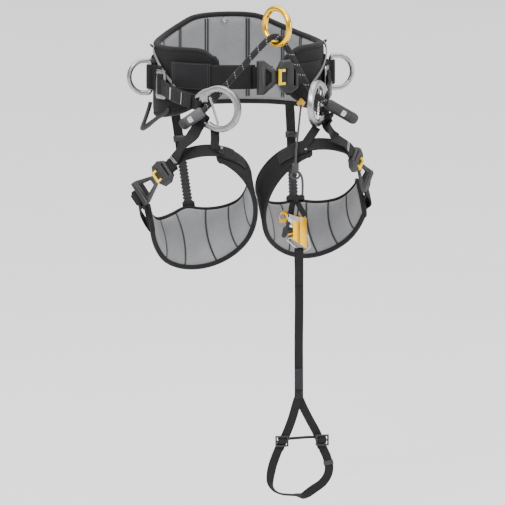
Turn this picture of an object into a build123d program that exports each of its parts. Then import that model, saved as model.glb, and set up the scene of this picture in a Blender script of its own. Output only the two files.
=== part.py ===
"""Tree climbing saddle: padded waist belt, two leg loops, a rope bridge with a sliding ring,
and an ascender with a foot strap. Millimetres, +Z up, -Y to the wearer's front, +X to the
wearer's left. The origin is the middle of the waist opening, at the belt's mid height."""
import math
import os

from build123d import *

# ---- driving dimensions -------------------------------------------------------------------
WAIST_A = 150.0            # half width of the waist opening at the back panel's outer cloth
WAIST_B = 125.0            # half depth of the same outline
WAIST_STEP = 7             # degrees between the corners of every band round the waist
PAD_THICK = 10.0           # foam pad, measured inwards from that outline
SHELL_THICK = 5.0          # woven shell, measured outwards from it
BELT_WEB = 44.0            # waist webbing width
LEG_WEB = 28.0             # leg webbing width
RISER_WEB = 20.0           # short risers under the gated rings
STAY_WEB = 6.0             # narrow stay straps
STAY_START = 93.0          # where a stay is tied on, in degrees round the waist
STAY_TOP_Z = 40.0
STAY_ENDS = {"right": (124.0, -22.0), "left": (137.0, -26.0)}
STAY_LIFT = 9.2
STAY_STEPS = 7
FOOT_WEB = 16.0            # foot strap
WEB = 2.4                  # thickness of one layer of webbing
GAP = 0.4                  # clearance between pieces that move apart

# Waist outline: degrees round from the middle of the back, top edge and bottom edge.
WAIST_PROFILE = [(0, 82.5, -76), (12, 82, -76), (24, 79.5, -76), (33, 70, -76), (43, 61, -76.5),
                 (57, 51, -77), (75, 45, -79), (90, 43, -80.5), (109, 43.5, -76),
                 (126, 45, -67), (143, 45.5, -47), (150, 38, -36), (154.5, 22, -24)]

LEG_A = 95.0               # leg loop half width, at the middle of the pad
LEG_B = 113.0              # leg loop half height in its own plane
LEG_CENTRES = {"right": Vector(-101, -138, -209), "left": Vector(104, -138, -203)}
LEG_AXIS = Vector(0, -0.731, -0.682)     # along the thigh, forwards and down
LEG_UP = Vector(0, -0.651, 0.759)        # from the seat side to the front strap
LEG_PAD = 8.0
LEG_JOINED = 147              # where the front strap is sewn to the front riser
LEG_BUCKLE_SIZE = 0.8      # against the waist buckle
LEG_BUCKLE_REACH = 13.0    # extra length of the frame
# Each leg buckle: middle of the joint, direction of the strap, and outward direction.
LEG_BUCKLES = {
    "right": (Vector(-190, -187, -172), Vector(0.64, -0.36, 0.68), Vector(-0.67, -0.70, 0.26)),
    "left": (Vector(182, -183, -159), Vector(-0.45, -0.45, 0.77), Vector(0.75, -0.60, 0.10)),
}
LEG_SHELL = 3.0
# Leg pad at its few changes of shape: tip, flank, side, seat, outer corner and outer end.
# Degrees from the seat towards the outside, rear edge and front edge along the thigh.
LEG_PROFILE = {
    "right": [(-168, -12, 15), (-110, -16, 48), (-65, -25, 65), (0, -68, 72), (45, -12, 78), (82, 10, 60)],
    "left": [(-168, -12, 15), (-110, -16, 42), (-65, -25, 60), (0, -68, 62), (50, -36, 56), (82, -26, 46)],
}
LEG_STATIONS = 16          # sections that round the pad off between those places

RING_CENTRES = {"right": Vector(-77, -200, -47), "left": Vector(101, -200, -42)}
RING_YAWS = {"right": 38.0, "left": 60.0}     # how far each gated ring faces outwards
RING_OUTER = 42.0
RING_HOLE = 31.0
RING_THICK = 11.0
RING_EDGE = 1.6            # bevel on the rims of a gated ring
BAR_TOP = (-19.4, 20.5)    # ends of the screwed gate bar, in the ring's own frame
BAR_LOW = (-2.5, -29.0)
BAR_RADIUS = 2.2

D_RING_X = 166.0           # axis of the side rings' bars
D_RING_Y = -20.0
D_RING_Z = -9.0
D_RING_WIRE = 4.3          # bar radius
D_RING_REACH = 42.0
D_RING_HALF = 30.0

ROPE_RADIUS = 5.5
SLEEVE_RADIUS = 10.5
BRIDGE_RING_OUTER = 37.4   # round ring on the bridge
BRIDGE_RING_WIRE = 5.3
BRIDGE_RING_GAP = 0.9       # under the rope, so that the ring can swing
BRIDGE_RING_YAW = -60.0
BRIDGE_TOP = Vector(28, -200, 78.5)      # the rope's highest point, inside the ring
BRIDGE_ROUTE = [(-110.2, -196.1, -54.8), (-105.4, -198.6, -49), (-82.2, -169.9, -35), (7, -199, 73.5), (24, -200.5, 82.5),
                (39, -200.5, 75.5), (84, -200.5, -11.5), (98, -200.5, -26.5), (118, -200, -41.8)]

# Ends of each rubber sleeve: at its ring, and at the cap.
BRIDGE_SLEEVES = {"right": ((-106.7, -198.1, -50.5), (-143, -180, -79)),
                  "left": ((118, -200, -41.8), (175.9, -190, -76))}
TAB = Vector(91, -112, -52)              # where the accessory cord is tied on
KIT_Y = -232.0             # plane in which the ascender and the foot strap hang
CORD_RADIUS = 1.9
CORD_ROUTE = [(90, -116, -56), (59, -221, -119), (56, KIT_Y, -129), (55, KIT_Y, -144)]

SIDES = {"right": -1, "left": 1}
parts = {}


# ---- helpers ------------------------------------------------------------------------------
def add(name, *shapes):
    """Store the solids of one piece. A name that comes again makes a group of separate solids."""
    for shape in shapes:
        parts.setdefault(name, []).extend(shape.solids())


def between(table, value):
    """Straight-line reading of the other columns of a table at one value of its first."""
    for low, high in zip(table, table[1:]):
        if low[0] <= value <= high[0]:
            share = (value - low[0]) / (high[0] - low[0])
            return [a + share * (b - a) for a, b in zip(low[1:], high[1:])]
    raise ValueError(value)


def loft(sections):
    """Closed band through four-cornered sections."""
    wires = [Wire.make_polygon([Vector(*p) for p in section], close=True) for section in sections]
    return Solid.make_loft(wires, ruled=True)


def strap(points, across, width, thick=WEB):
    """Flat webbing along points. across is one width direction, or one for each point."""
    points = [Vector(*p) for p in points]
    if isinstance(across, tuple):
        across = [across] * len(points)
    sections = []
    for i, point in enumerate(points):
        along = points[min(i + 1, len(points) - 1)] - points[max(i - 1, 0)]
        side = Vector(*across[i])
        side = (side - along.normalized() * side.dot(along.normalized())).normalized()
        face = along.cross(side).normalized()
        half_w = side * (width / 2)
        half_t = face * (thick / 2)
        corners = [point - half_w - half_t, point + half_w - half_t,
                   point + half_w + half_t, point - half_w + half_t]
        sections.append([tuple(c) for c in corners])
    return loft(sections)


def tube(points, radius, corner_radii):
    """Round cord along straight runs joined by arcs."""
    with BuildPart() as built:
        with BuildLine() as line:
            FilletPolyline(*points, radius=corner_radii)
        with BuildSketch(Plane(origin=line.wire() @ 0, z_dir=line.wire() % 0)):
            Circle(radius)
        sweep(path=line.wire())
    return built.part


def arc_radii(points, share=0.45):
    """Largest tangent arcs that the runs on each side of a corner leave room for."""
    corners = [Vector(*p) for p in points]
    radii = []
    for a, b, c in zip(corners, corners[1:], corners[2:]):
        turn = (b - a).get_angle(c - b)
        radii.append(share * min((b - a).length, (c - b).length) / math.tan(math.radians(turn) / 2))
    return radii


def rod(start, end, radius):
    """Round bar between two points."""
    start, end = Vector(*start), Vector(*end)
    plane = Plane(origin=start, z_dir=end - start)
    return plane * Cylinder(radius, (end - start).length, align=(Align.CENTER, Align.CENTER, Align.MIN))


def plate(outline, thick, holes=()):
    """Flat plate in the local XZ plane, centred on Y = 0, with polygon holes."""
    face = make_face(Polyline(*[(x, z) for x, z in outline], close=True))
    for hole in holes:
        face -= make_face(Polyline(*[(x, z) for x, z in hole], close=True))
    return Rot(90, 0, 0) * extrude(face, thick / 2, both=True)


def soften(shape, radius):
    """Round every edge of a casting or moulding."""
    return fillet(shape.edges(), radius)


def box(x0, x1, y0, y1, z0, z1):
    return Pos((x0 + x1) / 2, (y0 + y1) / 2, (z0 + z1) / 2) * Box(x1 - x0, y1 - y0, z1 - z0)


# ---- waist --------------------------------------------------------------------------------
def waist_point(angle, offset):
    """Point on the waist outline. angle runs from the middle of the back; + is the left side."""
    turn = math.radians(angle)
    out = Vector(math.sin(turn) / WAIST_A, math.cos(turn) / WAIST_B, 0).normalized()
    return Vector(WAIST_A * math.sin(turn), WAIST_B * math.cos(turn), 0) + out * offset


def waist_band(angles, inner, outer, top_bottom):
    """Upright band round the waist between two offsets."""
    sections = []
    for angle in angles:
        top, bottom = top_bottom(abs(angle))
        near, far = waist_point(angle, inner), waist_point(angle, outer)
        sections.append([(near.X, near.Y, bottom), (far.X, far.Y, bottom),
                         (far.X, far.Y, top), (near.X, near.Y, top)])
    return loft(sections)


def steps(start, stop):
    """Angles at an even pitch, so that bands laid on each other share their corners."""
    return [start + WAIST_STEP * i for i in range((stop - start) // WAIST_STEP + 1)]


def belt_height(_angle):
    return BELT_WEB / 2, -BELT_WEB / 2


def sleeve_height(_angle):
    return BELT_WEB / 2 + 2, -BELT_WEB / 2 - 2


def waist_height(angle):
    return between(WAIST_PROFILE, angle)


def waist_pad_height(angle):
    top, bottom = waist_height(angle)
    return top - 1, bottom + 1


def make_waist():
    tip = WAIST_PROFILE[-1][0]
    whole = [-tip] + steps(-147, 147) + [tip]
    add("waist_shell", waist_band(whole, 0, SHELL_THICK, waist_height))
    add("waist_pad", waist_band(steps(-147, 147), -PAD_THICK, 0, waist_pad_height))
    layer = SHELL_THICK + WEB
    add("belt_webbing", waist_band(steps(-98, 98), SHELL_THICK, layer, belt_height))
    right_front = steps(-182, -119)
    left_front = steps(119, 147)
    for angles in (right_front, left_front):
        add("front_webbing", waist_band(angles, SHELL_THICK, layer, belt_height))
    add("belt_sleeve", waist_band(steps(-154, -133), layer + GAP, layer + WEB + GAP, sleeve_height))


BUCKLE_PLACE = Location((43, -132.5, -1), (0, 0, 12))


# ---- double-shell buckles -----------------------------------------------------------------
def buckle(place, size, names, reach=0.0):
    """Quick-release buckle: slotted adjuster frame, housing and sliding latch.
    Local X runs from the frame to the housing, local -Y faces outwards. reach lengthens the frame."""
    frame_name, body_name, latch_name = names
    s = size
    outline = [(-40 * s - reach, -31 * s), (-27 * s - reach, -31 * s), (-3 * s, -12 * s), (-3 * s, 12 * s),
               (-27 * s - reach, 31 * s), (-40 * s - reach, 31 * s)]
    slot = [(-24 * s - reach, -17 * s), (-12 * s, -8 * s), (-12 * s, 8 * s), (-24 * s - reach, 17 * s)]
    frame = plate(outline, 5 * s, [slot])
    frame += box(-39 * s - reach, -28 * s - reach, -7 * s, -2 * s, -30 * s, 30 * s)
    tongue = box(-4 * s, 20 * s, -1.8 * s, 1.8 * s, -11 * s, 11 * s)
    add(frame_name, place * (frame + tongue))
    outline = [(0.6 * s, -14 * s), (8 * s, -28 * s), (26 * s, -30 * s), (40 * s, -20 * s),
               (40 * s, 20 * s), (26 * s, 30 * s), (8 * s, 28 * s), (0.6 * s, 14 * s)]
    body = plate(outline, 13 * s)
    body = chamfer(body.edges().filter_by(Axis.Y, reverse=True).group_by(Axis.Y)[0], 2.2 * s)
    body -= box(-1, 20.5 * s, -2.3 * s, 2.3 * s, -11.5 * s, 11.5 * s)
    body -= box(-1, LATCH_LENGTH * s + LATCH_TRAVEL + 0.6, -8 * s, -3.4 * s, -15 * s, 15 * s)
    web_slot = box(30 * s, 34 * s, -10 * s, 10 * s, -17 * s, 17 * s)
    add(body_name, place * (body - web_slot))
    back = box(0.2 * s, 5 * s, -8.6 * s, -3.8 * s, -14.4 * s, 14.4 * s)
    arms = [box(4 * s, LATCH_LENGTH * s, -8.2 * s, -3.8 * s, z - 2.4 * s, z + 2.4 * s)
            for z in (-12 * s, 12 * s)]
    add(latch_name, place * (back + arms[0] + arms[1]))


LATCH_LENGTH = 13.0
LATCH_TRAVEL = 3.0


# ---- side rings and hip straps ------------------------------------------------------------
def make_side_ring(side):
    """D-shaped ring, its sewn tab, and the hip adjuster in front of it."""
    sign = SIDES[side]
    axis_x = sign * D_RING_X
    low, high = D_RING_Z - D_RING_HALF, D_RING_Z + D_RING_HALF
    reach = sign * D_RING_REACH
    outline = [Vector(axis_x, D_RING_Y, low), Vector(axis_x, D_RING_Y, high)]
    for degrees in range(72, -73, -18):
        turn = math.radians(degrees)
        outline.append(Vector(axis_x + reach * (0.25 + 0.68 * math.cos(turn)), D_RING_Y,
                              D_RING_Z + D_RING_HALF * math.sin(turn)))
    path = Wire.make_polygon(outline, close=True)
    path = path.fillet_2d(D_RING_WIRE * 1.4, path.vertices())
    section = Plane(origin=(axis_x, D_RING_Y, D_RING_Z), z_dir=(0, 0, 1)) * Circle(D_RING_WIRE)
    add(f"{side}_d_ring", sweep(section, path=path))

    wrap = Pos(axis_x, D_RING_Y, D_RING_Z) * (
        Cylinder(D_RING_WIRE + GAP + WEB, 2 * D_TAB_HALF) - Cylinder(D_RING_WIRE + GAP, 2 * D_TAB_HALF))
    wrap -= box(*sorted((axis_x + sign * 1.5, axis_x + sign * 12)), D_RING_Y - 12, D_RING_Y + 12,
                D_RING_Z - 8, D_RING_Z + 8)
    add("d_ring_tabs", wrap)

    centre = waist_point(sign * 110, 12.5)
    yaw = 90 - sign * 23.6
    outline = [(-13, -26), (13, -26), (15, -20), (15, 20), (13, 26), (-13, 26), (-15, 20), (-15, -20)]
    slots = [[(-9, -19), (-3, -19), (-3, 19), (-9, 19)], [(3, -19), (9, -19), (9, 19), (3, 19)]]
    adjuster = plate(outline, 3.0, slots)
    add("hip_adjusters", Pos(centre.X, centre.Y, -20) * Rot(0, 0, yaw) * adjuster)


D_TAB_HALF = 22.0


def ring_frame_place(side):
    """Local frame of a gated ring: local -X is its webbing side, on the wearer's outside."""
    centre = RING_CENTRES[side]
    sign = SIDES[side]
    return Location(tuple(centre), (0, 0, sign * RING_YAWS[side]))


def chamfer_rims(body, size):
    """Bevel the outlines on both faces of a plate-like casting."""
    rims = [edge for edge in body.edges() if abs(abs(edge.center().Y) - RING_THICK / 2) < 0.01]
    return chamfer(rims, size)


def make_gated_ring(side):
    """Forged ring with a D-shaped opening, two webbing slots and a screwed gate bar."""
    flip = -SIDES[side]
    body = Rot(90, 0, 0) * extrude(Circle(RING_OUTER), RING_THICK / 2, both=True)
    arm = [(-16, 38), (-20, 37), (-30, 34), (-40, 28), (-47, 21), (-46, 16), (-38, 19), (-36, 14),
           (-40, 8), (-41, -17), (-36, -26), (-27, -35), (-16, -39), (0, -34), (0, 34)]
    body += plate(arm, RING_THICK)
    eye = Rot(90, 0, 0) * extrude(Circle(RING_HOLE), RING_THICK, both=True)
    eye -= box(-60, -22, -20, 20, 11, 60)
    web_slot = plate([(-20, 11), (-33, 9), (-36, 4), (-36.5, -14), (-33, -20), (-24, -26), (-10, -20)],
                     2 * RING_THICK)
    body -= eye + web_slot
    body = chamfer_rims(body, RING_EDGE)
    place = ring_frame_place(side)
    if flip < 0:
        body = mirror(body, about=Plane.YZ)
    add(f"{side}_gated_ring", place * body)
    bar = rod((BAR_TOP[0] * flip, 0, BAR_TOP[1]), (BAR_LOW[0] * flip, 0, BAR_LOW[1]), BAR_RADIUS)
    add("ring_bars", place * bar)


def ring_spot(side, out, up, depth=0.0):
    """Point on a gated ring: out towards its webbing side, up, and depth behind its face."""
    sign = SIDES[side]
    spot = Vector(sign * out, depth, up).rotate(Axis.Z, sign * RING_YAWS[side])
    return RING_CENTRES[side] + spot


def make_hip_strap(side):
    sign = SIDES[side]
    start = waist_point(sign * 117, 12.5)
    end = ring_spot(side, 51, 5, 2)
    start = Vector(start.X, start.Y, -27)
    end = Vector(end.X, end.Y, -31)
    bulge = Vector(sign * 6, 0, 0)
    middle = (start + end) * 0.5 + bulge
    hip = strap([tuple(start), tuple(middle), tuple(end)], (0, 0, 1), LEG_WEB)
    add("hip_straps", hip)
    stop_angle, stop_z = STAY_ENDS[side]
    points = []
    for i in range(STAY_STEPS + 1):
        share = i / STAY_STEPS
        spot = waist_point(sign * (STAY_START + (stop_angle - STAY_START) * share), STAY_LIFT)
        points.append((spot.X, spot.Y, STAY_TOP_Z + (stop_z - STAY_TOP_Z) * share))
    add("stay_straps", strap(points, (0, 0, 1), STAY_WEB, 2.0))


def make_gear_loop():
    """Moulded loop that hangs tools, on the right hip."""
    points = [(-159, 18, -66), (-165, 14, -84), (-177, 0, -102), (-172, -20, -98), (-146, -56, -72)]
    add("gear_loop", tube(points, 3.4, arc_radii(points)))


# ---- bridge -------------------------------------------------------------------------------
def make_bridge():
    radii = arc_radii(BRIDGE_ROUTE)
    print("bridge rope radii", [round(r, 1) for r in radii])
    rope = tube(BRIDGE_ROUTE, ROPE_RADIUS, radii)
    report_tube("bridge_rope", rope, BRIDGE_ROUTE, ROPE_RADIUS)
    add("bridge_rope", rope)
    for side, (near, far) in BRIDGE_SLEEVES.items():
        sleeve = rod(near, far, SLEEVE_RADIUS)
        rim = sleeve.edges().filter_by(GeomType.CIRCLE)
        add("bridge_sleeves", fillet(rim, 4.0))
    ring = Torus(BRIDGE_RING_OUTER - BRIDGE_RING_WIRE, BRIDGE_RING_WIRE)
    hole_radius = BRIDGE_RING_OUTER - 2 * BRIDGE_RING_WIRE
    height = BRIDGE_TOP.Z - ROPE_RADIUS - BRIDGE_RING_GAP + hole_radius
    place = Location((BRIDGE_TOP.X, BRIDGE_TOP.Y, height), (0, 0, BRIDGE_RING_YAW))
    add("bridge_ring", place * (Rot(90, 0, 0) * ring))


def report_tube(name, shape, route, radius):
    corners = [Vector(*p) for p in route]
    runs = sum((b - a).length for a, b in zip(corners, corners[1:]))
    length = shape.volume / (math.pi * radius ** 2)
    print(f"{name}: runs {runs:.1f} mm, tube volume gives {length:.1f} mm")


# ---- leg loops ----------------------------------------------------------------------------
def leg_point(side, angle, offset=0.0, along=0.0):
    """Point on a leg loop. angle runs from the seat to the outside, along is down the thigh."""
    turn = math.radians(angle)
    outwards = Vector(SIDES[side], 0, 0)
    normal = (outwards * (math.sin(turn) / LEG_A) - LEG_UP * (math.cos(turn) / LEG_B)).normalized()
    ring = outwards * (LEG_A * math.sin(turn)) - LEG_UP * (LEG_B * math.cos(turn))
    return LEG_CENTRES[side] + ring + normal * offset + LEG_AXIS * along


def leg_band(side, angles, inner, outer, trim=0.0):
    sections = []
    for angle in angles:
        rear, front = between(LEG_PROFILE[side], angle)
        rear, front = rear + trim, front - trim
        corners = [leg_point(side, angle, inner, rear), leg_point(side, angle, inner, front),
                   leg_point(side, angle, outer, front), leg_point(side, angle, outer, rear)]
        sections.append([tuple(c) for c in corners])
    return loft(sections)


def leg_strap_run(side, angles, offset, along=0.0, width=LEG_WEB):
    points = [tuple(leg_point(side, angle, offset, along)) for angle in angles]
    return strap(points, tuple(LEG_AXIS), width)


def leg_buckle_place(side):
    """Frame of a leg buckle: local X along the strap towards the front, -Y outwards."""
    origin, along, outwards = LEG_BUCKLES[side]
    along = along.normalized()
    outwards = (outwards - along * outwards.dot(along)).normalized()
    return Plane(origin=origin, x_dir=along, z_dir=along.cross(-outwards)).location


def leg_buckle_end(side):
    """Where the thigh strap leaves the adjuster frame of a leg buckle."""
    gap = 40 * LEG_BUCKLE_SIZE + LEG_BUCKLE_REACH + 3.0
    return leg_buckle_place(side) * Pos(-gap, 0, 0)


def make_leg(side):
    sign = SIDES[side]
    first, last = LEG_PROFILE[side][0][0], LEG_PROFILE[side][-1][0]
    angles = [first + (last - first) * step / LEG_STATIONS for step in range(LEG_STATIONS + 1)]
    add(f"{side}_leg_shell", leg_band(side, angles, 0, LEG_SHELL))
    add(f"{side}_leg_pad", leg_band(side, angles[1:], -LEG_PAD, 0, 3.0))
    front = leg_strap_run(side, [LEG_JOINED, 150, 156, 165, 174, 183, 190, 197, 204], LEG_SHELL + 2.5)
    add(f"{side}_leg_strap", front)
    thigh = [tuple(leg_point(side, angle, LEG_SHELL + 2.0, 14.0)) for angle in (50, 58, 66, 74, 82)]
    thigh.append(tuple(leg_buckle_end(side).position))
    add(f"{side}_adjust_strap", strap(thigh, tuple(LEG_AXIS), LEG_WEB))
    names = (f"{side}_leg_buckle_frame", f"{side}_leg_buckle_body", f"{side}_leg_latch")
    buckle(leg_buckle_place(side), LEG_BUCKLE_SIZE, names, LEG_BUCKLE_REACH)

    top_out = ring_spot(side, 24, -49, 0)
    bend_out = {"right": Vector(-147, -214, -113), "left": leg_point(side, LEG_JOINED + 14, 17)}[side]
    low_out = leg_point(side, LEG_JOINED + 2.5, 9)
    out_riser = strap([tuple(top_out), tuple((top_out + bend_out) * 0.5 + Vector(sign * 6, -3, 4)),
                       tuple(bend_out), tuple(low_out)],
                      [(-sign * 0.6, 0, 0.4), tuple(LEG_AXIS), tuple(LEG_AXIS), tuple(LEG_AXIS)],
                      RISER_WEB)
    top_in = {"right": ring_spot(side, 17, -49, 5), "left": ring_spot(side, 2, -48, 0)}[side]
    low_in = leg_point(side, {"right": 187.0, "left": 196.0}[side], 12.5)
    in_riser = strap([tuple(top_in), tuple((top_in + low_in) * 0.5 + Vector(0, -2, 0)), tuple(low_in)],
                     [(1, 0, 0), (1, 0, 0), (1, 0, 0)], 15.0)
    add(f"{side}_front_risers", out_riser, in_riser)

    rear_low = leg_point(side, 0, -2, -68)
    shift = Vector(-sign * 6, 0, 0)
    rear_low = rear_low + shift
    rear_top = Vector(sign * 106, 52, -81)
    slope = (rear_low - rear_top)
    joint = rear_top + slope * 0.47
    add("rear_risers", strap([tuple(rear_top), tuple(joint)], (1, 0, 0), 17.0))
    start = rear_top + slope * 0.50
    stop = rear_top + slope * 0.955
    add(f"{side}_elastic_riser", strap([tuple(start), tuple(stop)], (1, 0, 0), 17.0, 3.0))
    slide_low, slide_high = rear_top + slope * 0.30, rear_top + slope * 0.38
    offset = Vector(0, -4.0, 0)
    add("riser_sliders", strap([tuple(slide_low + offset), tuple(slide_high + offset)],
                                      (1, 0, 0), 23.0, 3.4))
    tab_top = rear_top + slope * 0.965
    tab_low = rear_top + slope * 0.995
    add(f"{side}_riser_tab", strap([tuple(tab_top), tuple(tab_low)], (1, 0, 0), 22.0, 3.6))


# ---- ascender and foot strap --------------------------------------------------------------
def make_ascender():
    tab = [(-9, 0), (0, -11), (9, 0), (0, 9)]
    add("cord_tab", Location(tuple(TAB), (0, 0, 20)) * plate(tab, 3.0))
    radii = arc_radii(CORD_ROUTE)
    print("accessory cord radii", [round(r, 1) for r in radii])
    cord = tube(CORD_ROUTE, CORD_RADIUS, radii)
    report_tube("accessory_cord", cord, CORD_ROUTE, CORD_RADIUS)
    add("accessory_cord", cord)
    knot = Pos(55, KIT_Y, -154) * Cylinder(6.0, 18.0)
    add("cord_knot", fillet(knot.edges(), 2.5))
    hook = [(55, KIT_Y, -165), (63, KIT_Y, -168), (68, KIT_Y, -176), (68, KIT_Y, -204)]
    left_leg = [(47, KIT_Y + 4, -166), (43, KIT_Y + 4, -174), (43, KIT_Y + 4, -204)]
    add("cord_loop", tube(hook, 2.0, 3.0), tube(left_leg, 2.0, 3.0))
    bow = Pos(55, KIT_Y, -209) * Box(28, 9, 7)
    add("webbing_keeper", fillet(bow.edges(), 2.0))
    left_tail = strap([(48, KIT_Y - 1, -214.6), (47.5, KIT_Y + 2, -228)], (1, 0, 0), 11.0)
    right_tail = strap([(58, KIT_Y - 1, -214.6), (69, KIT_Y - 4, -238)], (1, 0, 0.4), 10.0)
    add("ascender_webbing", left_tail, right_tail)

    outer = [(44, 13), (71, 13), (75.5, 8), (75.5, -1), (61, -11.5), (49, -7)]
    inner = [(50, -4.6), (61, -8.8), (73, 0.2), (73, 7), (70, 10.5), (44, 10.5)]
    section = make_face(Polyline(*[(x, KIT_Y + y) for x, y in outer + inner], close=True))
    channel = Pos(0, 0, -300) * extrude(section, 60)
    slant_low = plate([(30, -268), (90, -309), (90, -330), (30, -330)], 80)
    slant_top = plate([(30, -226), (90, -250), (90, -220), (30, -220)], 80)
    channel -= Pos(0, KIT_Y, 0) * slant_low
    channel -= Pos(0, KIT_Y, 0) * slant_top
    lug = plate([(27, -252), (30, -235), (36, -230), (70, -243), (70, -256), (46, -256), (42, -252)], 2.5)
    frame = channel + Pos(0, KIT_Y + 11.75, 0) * lug
    hole_place = Pos(34, KIT_Y + 11.75, -242) * Rot(90, 0, 0)
    frame -= hole_place * Cylinder(ASCENDER_HOLE, 10)
    frame -= Pos(74, LINK_Y, -276) * Rot(0, 90, 0) * Cylinder(3.2, 8)
    add("ascender_frame", frame)
    axle = rod((46, KIT_Y + 10.5, -256), (46, KIT_Y - 4, -256), CAM_AXLE)
    head = rod((46, KIT_Y - 4, -256), (46, KIT_Y - 6, -256), CAM_AXLE + 0.8)
    add("cam_axle", axle + head)
    toothed = [(50, -249), (52.5, -253), (51, -255), (53.5, -258), (51.5, -260), (53, -263),
               (50.5, -265), (51, -268), (46, -270), (38, -272), (36, -266), (40, -256), (41, -249)]
    cam = Pos(0, KIT_Y + 2.75, 0) * plate(toothed, 12)
    cam -= rod((46, KIT_Y + 20, -256), (46, KIT_Y - 20, -256), CAM_AXLE + 0.06)
    add("ascender_cam", cam)
    link = [(39, LINK_Y, -281), (68, LINK_Y, -306), (83, LINK_Y, -298), (79, LINK_Y, -276), (58, LINK_Y, -277)]
    add("lower_link", closed_rod(link, 2.0, 3.0))


ASCENDER_HOLE = 5.5
CAM_AXLE = 2.5
LINK_Y = -224.5


def closed_rod(points, radius, corner):
    """Closed ring of round bar through points, with rounded corners."""
    path = Wire.make_polygon([Vector(*p) for p in points], close=True)
    path = path.fillet_2d(corner, path.vertices())
    start = path @ 0
    section = Plane(origin=start, z_dir=path % 0) * Circle(radius)
    return sweep(section, path=path)


def make_foot_strap():
    y = KIT_Y + 7.5
    x = 63.0
    main = strap([(x, y, -309.5), (x, y, -572)], (1, 0, 0), FOOT_WEB)
    cover = strap([(x, y - WEB, -310), (x, y - WEB, -366)], (1, 0, 0), FOOT_WEB)
    add("foot_strap", main)
    add("foot_strap", cover)
    add("strap_label", strap([(x, y - 2.2, -517), (x, y - 2.2, -554)], (1, 0, 0), 15.0, 1.4))
    limb_left = [(x - 3, y, -574), (47, y, -612), (39, y, -637), (27, y, -657)]
    limb_right = [(x + 3, y + WEB + 0.2, -574), (80, y + WEB, -606), (97, y + WEB, -637), (104, y + WEB, -657)]
    add("foot_branches", strap(limb_left, (1, 0, 0.3), FOOT_WEB),
        strap(limb_right, (1, 0, -0.5), FOOT_WEB))
    loop = [(26.5, y, -660), (16, y, -688), (10.5, y, -715), (14, y, -733), (27, y, -743),
            (49, y, -746), (71, y, -748), (91, y, -737), (110, y, -719), (119, y, -698),
            (114, y + 1, -676), (105, y + 2, -660)]
    face_view = (1, 0, 0.3)
    turned = (0, 1, 0)
    across = [face_view, face_view, face_view, (1, 0.5, 0), (0.4, 1, 0), turned,
              turned, (-0.3, 1, 0.3), (-1, 0.4, 0.5), (-1, 0, 0), (-1, 0, 0.3), (-1, 0, 0.3)]
    add("foot_loop", strap(loop, across, FOOT_WEB))
    slides = []
    for cx in (31.0, 105.0):
        ring = plate([(-12, -10), (12, -10), (12, 10), (-12, 10)], 2.6,
                     [[(-9, -7), (9, -7), (9, -1.5), (-9, -1.5)], [(-9, 1.5), (9, 1.5), (9, 7), (-9, 7)]])
        slides.append(Pos(cx, y - 4, -647) * ring)
    add("foot_sliders", *slides)
    add("instep_strap", strap([(40, y + 12.5, -645), (67, y + 12.5, -644), (97, y + 12.5, -643)],
                              (0, 1, 0), FOOT_WEB - 1, 2.0))


SNAP_RADIUS = 4.5
SNAP_LENGTH = 5.0


def make_snap():
    """Press stud for the shoulder straps, on the back panel's top binding."""
    face = WAIST_B - PAD_THICK
    stud = rod((-2, face - 0.3, 74), (-2, face - SNAP_LENGTH, 74), SNAP_RADIUS)
    add("suspender_snap", stud)


def main():
    make_waist()
    buckle(BUCKLE_PLACE, 1.0, ("waist_buckle_frame", "waist_buckle_body", "waist_latch"))
    for side in SIDES:
        make_side_ring(side)
        make_gated_ring(side)
        make_hip_strap(side)
        make_leg(side)
    make_gear_loop()
    make_bridge()
    make_ascender()
    make_foot_strap()
    make_snap()
    os.makedirs("parts", exist_ok=True)
    for name, solids in parts.items():
        shape = solids[0] if len(solids) == 1 else Compound(solids)
        export_step(shape, f"parts/{name}.step")
    print(len(parts), "pieces")


main()
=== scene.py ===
"""Looks of the tree climbing saddle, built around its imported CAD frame.
Metres, +Z up, -Y to the wearer's front, +X to the wearer's left."""
import math
import random

import bpy
import numpy as np
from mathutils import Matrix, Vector, noise


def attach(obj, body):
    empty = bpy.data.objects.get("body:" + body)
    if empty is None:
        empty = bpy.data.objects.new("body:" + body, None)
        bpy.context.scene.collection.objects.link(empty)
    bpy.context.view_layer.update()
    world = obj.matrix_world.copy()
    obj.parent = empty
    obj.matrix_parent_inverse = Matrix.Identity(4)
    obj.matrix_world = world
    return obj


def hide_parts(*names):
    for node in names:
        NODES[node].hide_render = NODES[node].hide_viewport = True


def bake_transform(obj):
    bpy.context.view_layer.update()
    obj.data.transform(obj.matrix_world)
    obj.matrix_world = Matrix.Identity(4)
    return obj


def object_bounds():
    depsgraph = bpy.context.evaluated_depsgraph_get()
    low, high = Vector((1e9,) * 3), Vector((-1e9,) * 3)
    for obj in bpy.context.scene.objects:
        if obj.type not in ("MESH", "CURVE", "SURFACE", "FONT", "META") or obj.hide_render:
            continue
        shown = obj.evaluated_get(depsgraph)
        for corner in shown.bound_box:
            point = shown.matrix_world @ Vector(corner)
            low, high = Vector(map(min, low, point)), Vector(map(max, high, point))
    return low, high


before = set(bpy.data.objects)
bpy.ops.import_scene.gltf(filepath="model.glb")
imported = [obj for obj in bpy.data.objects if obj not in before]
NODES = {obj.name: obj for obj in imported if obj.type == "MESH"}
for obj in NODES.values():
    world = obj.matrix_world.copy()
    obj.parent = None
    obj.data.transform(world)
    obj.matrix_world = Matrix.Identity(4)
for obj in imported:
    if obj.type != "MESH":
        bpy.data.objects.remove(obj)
CAD_BOX = [list(corner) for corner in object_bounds()]
random.seed(7)

MM = 0.001
SIDES = {"right": -1, "left": 1}

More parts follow.
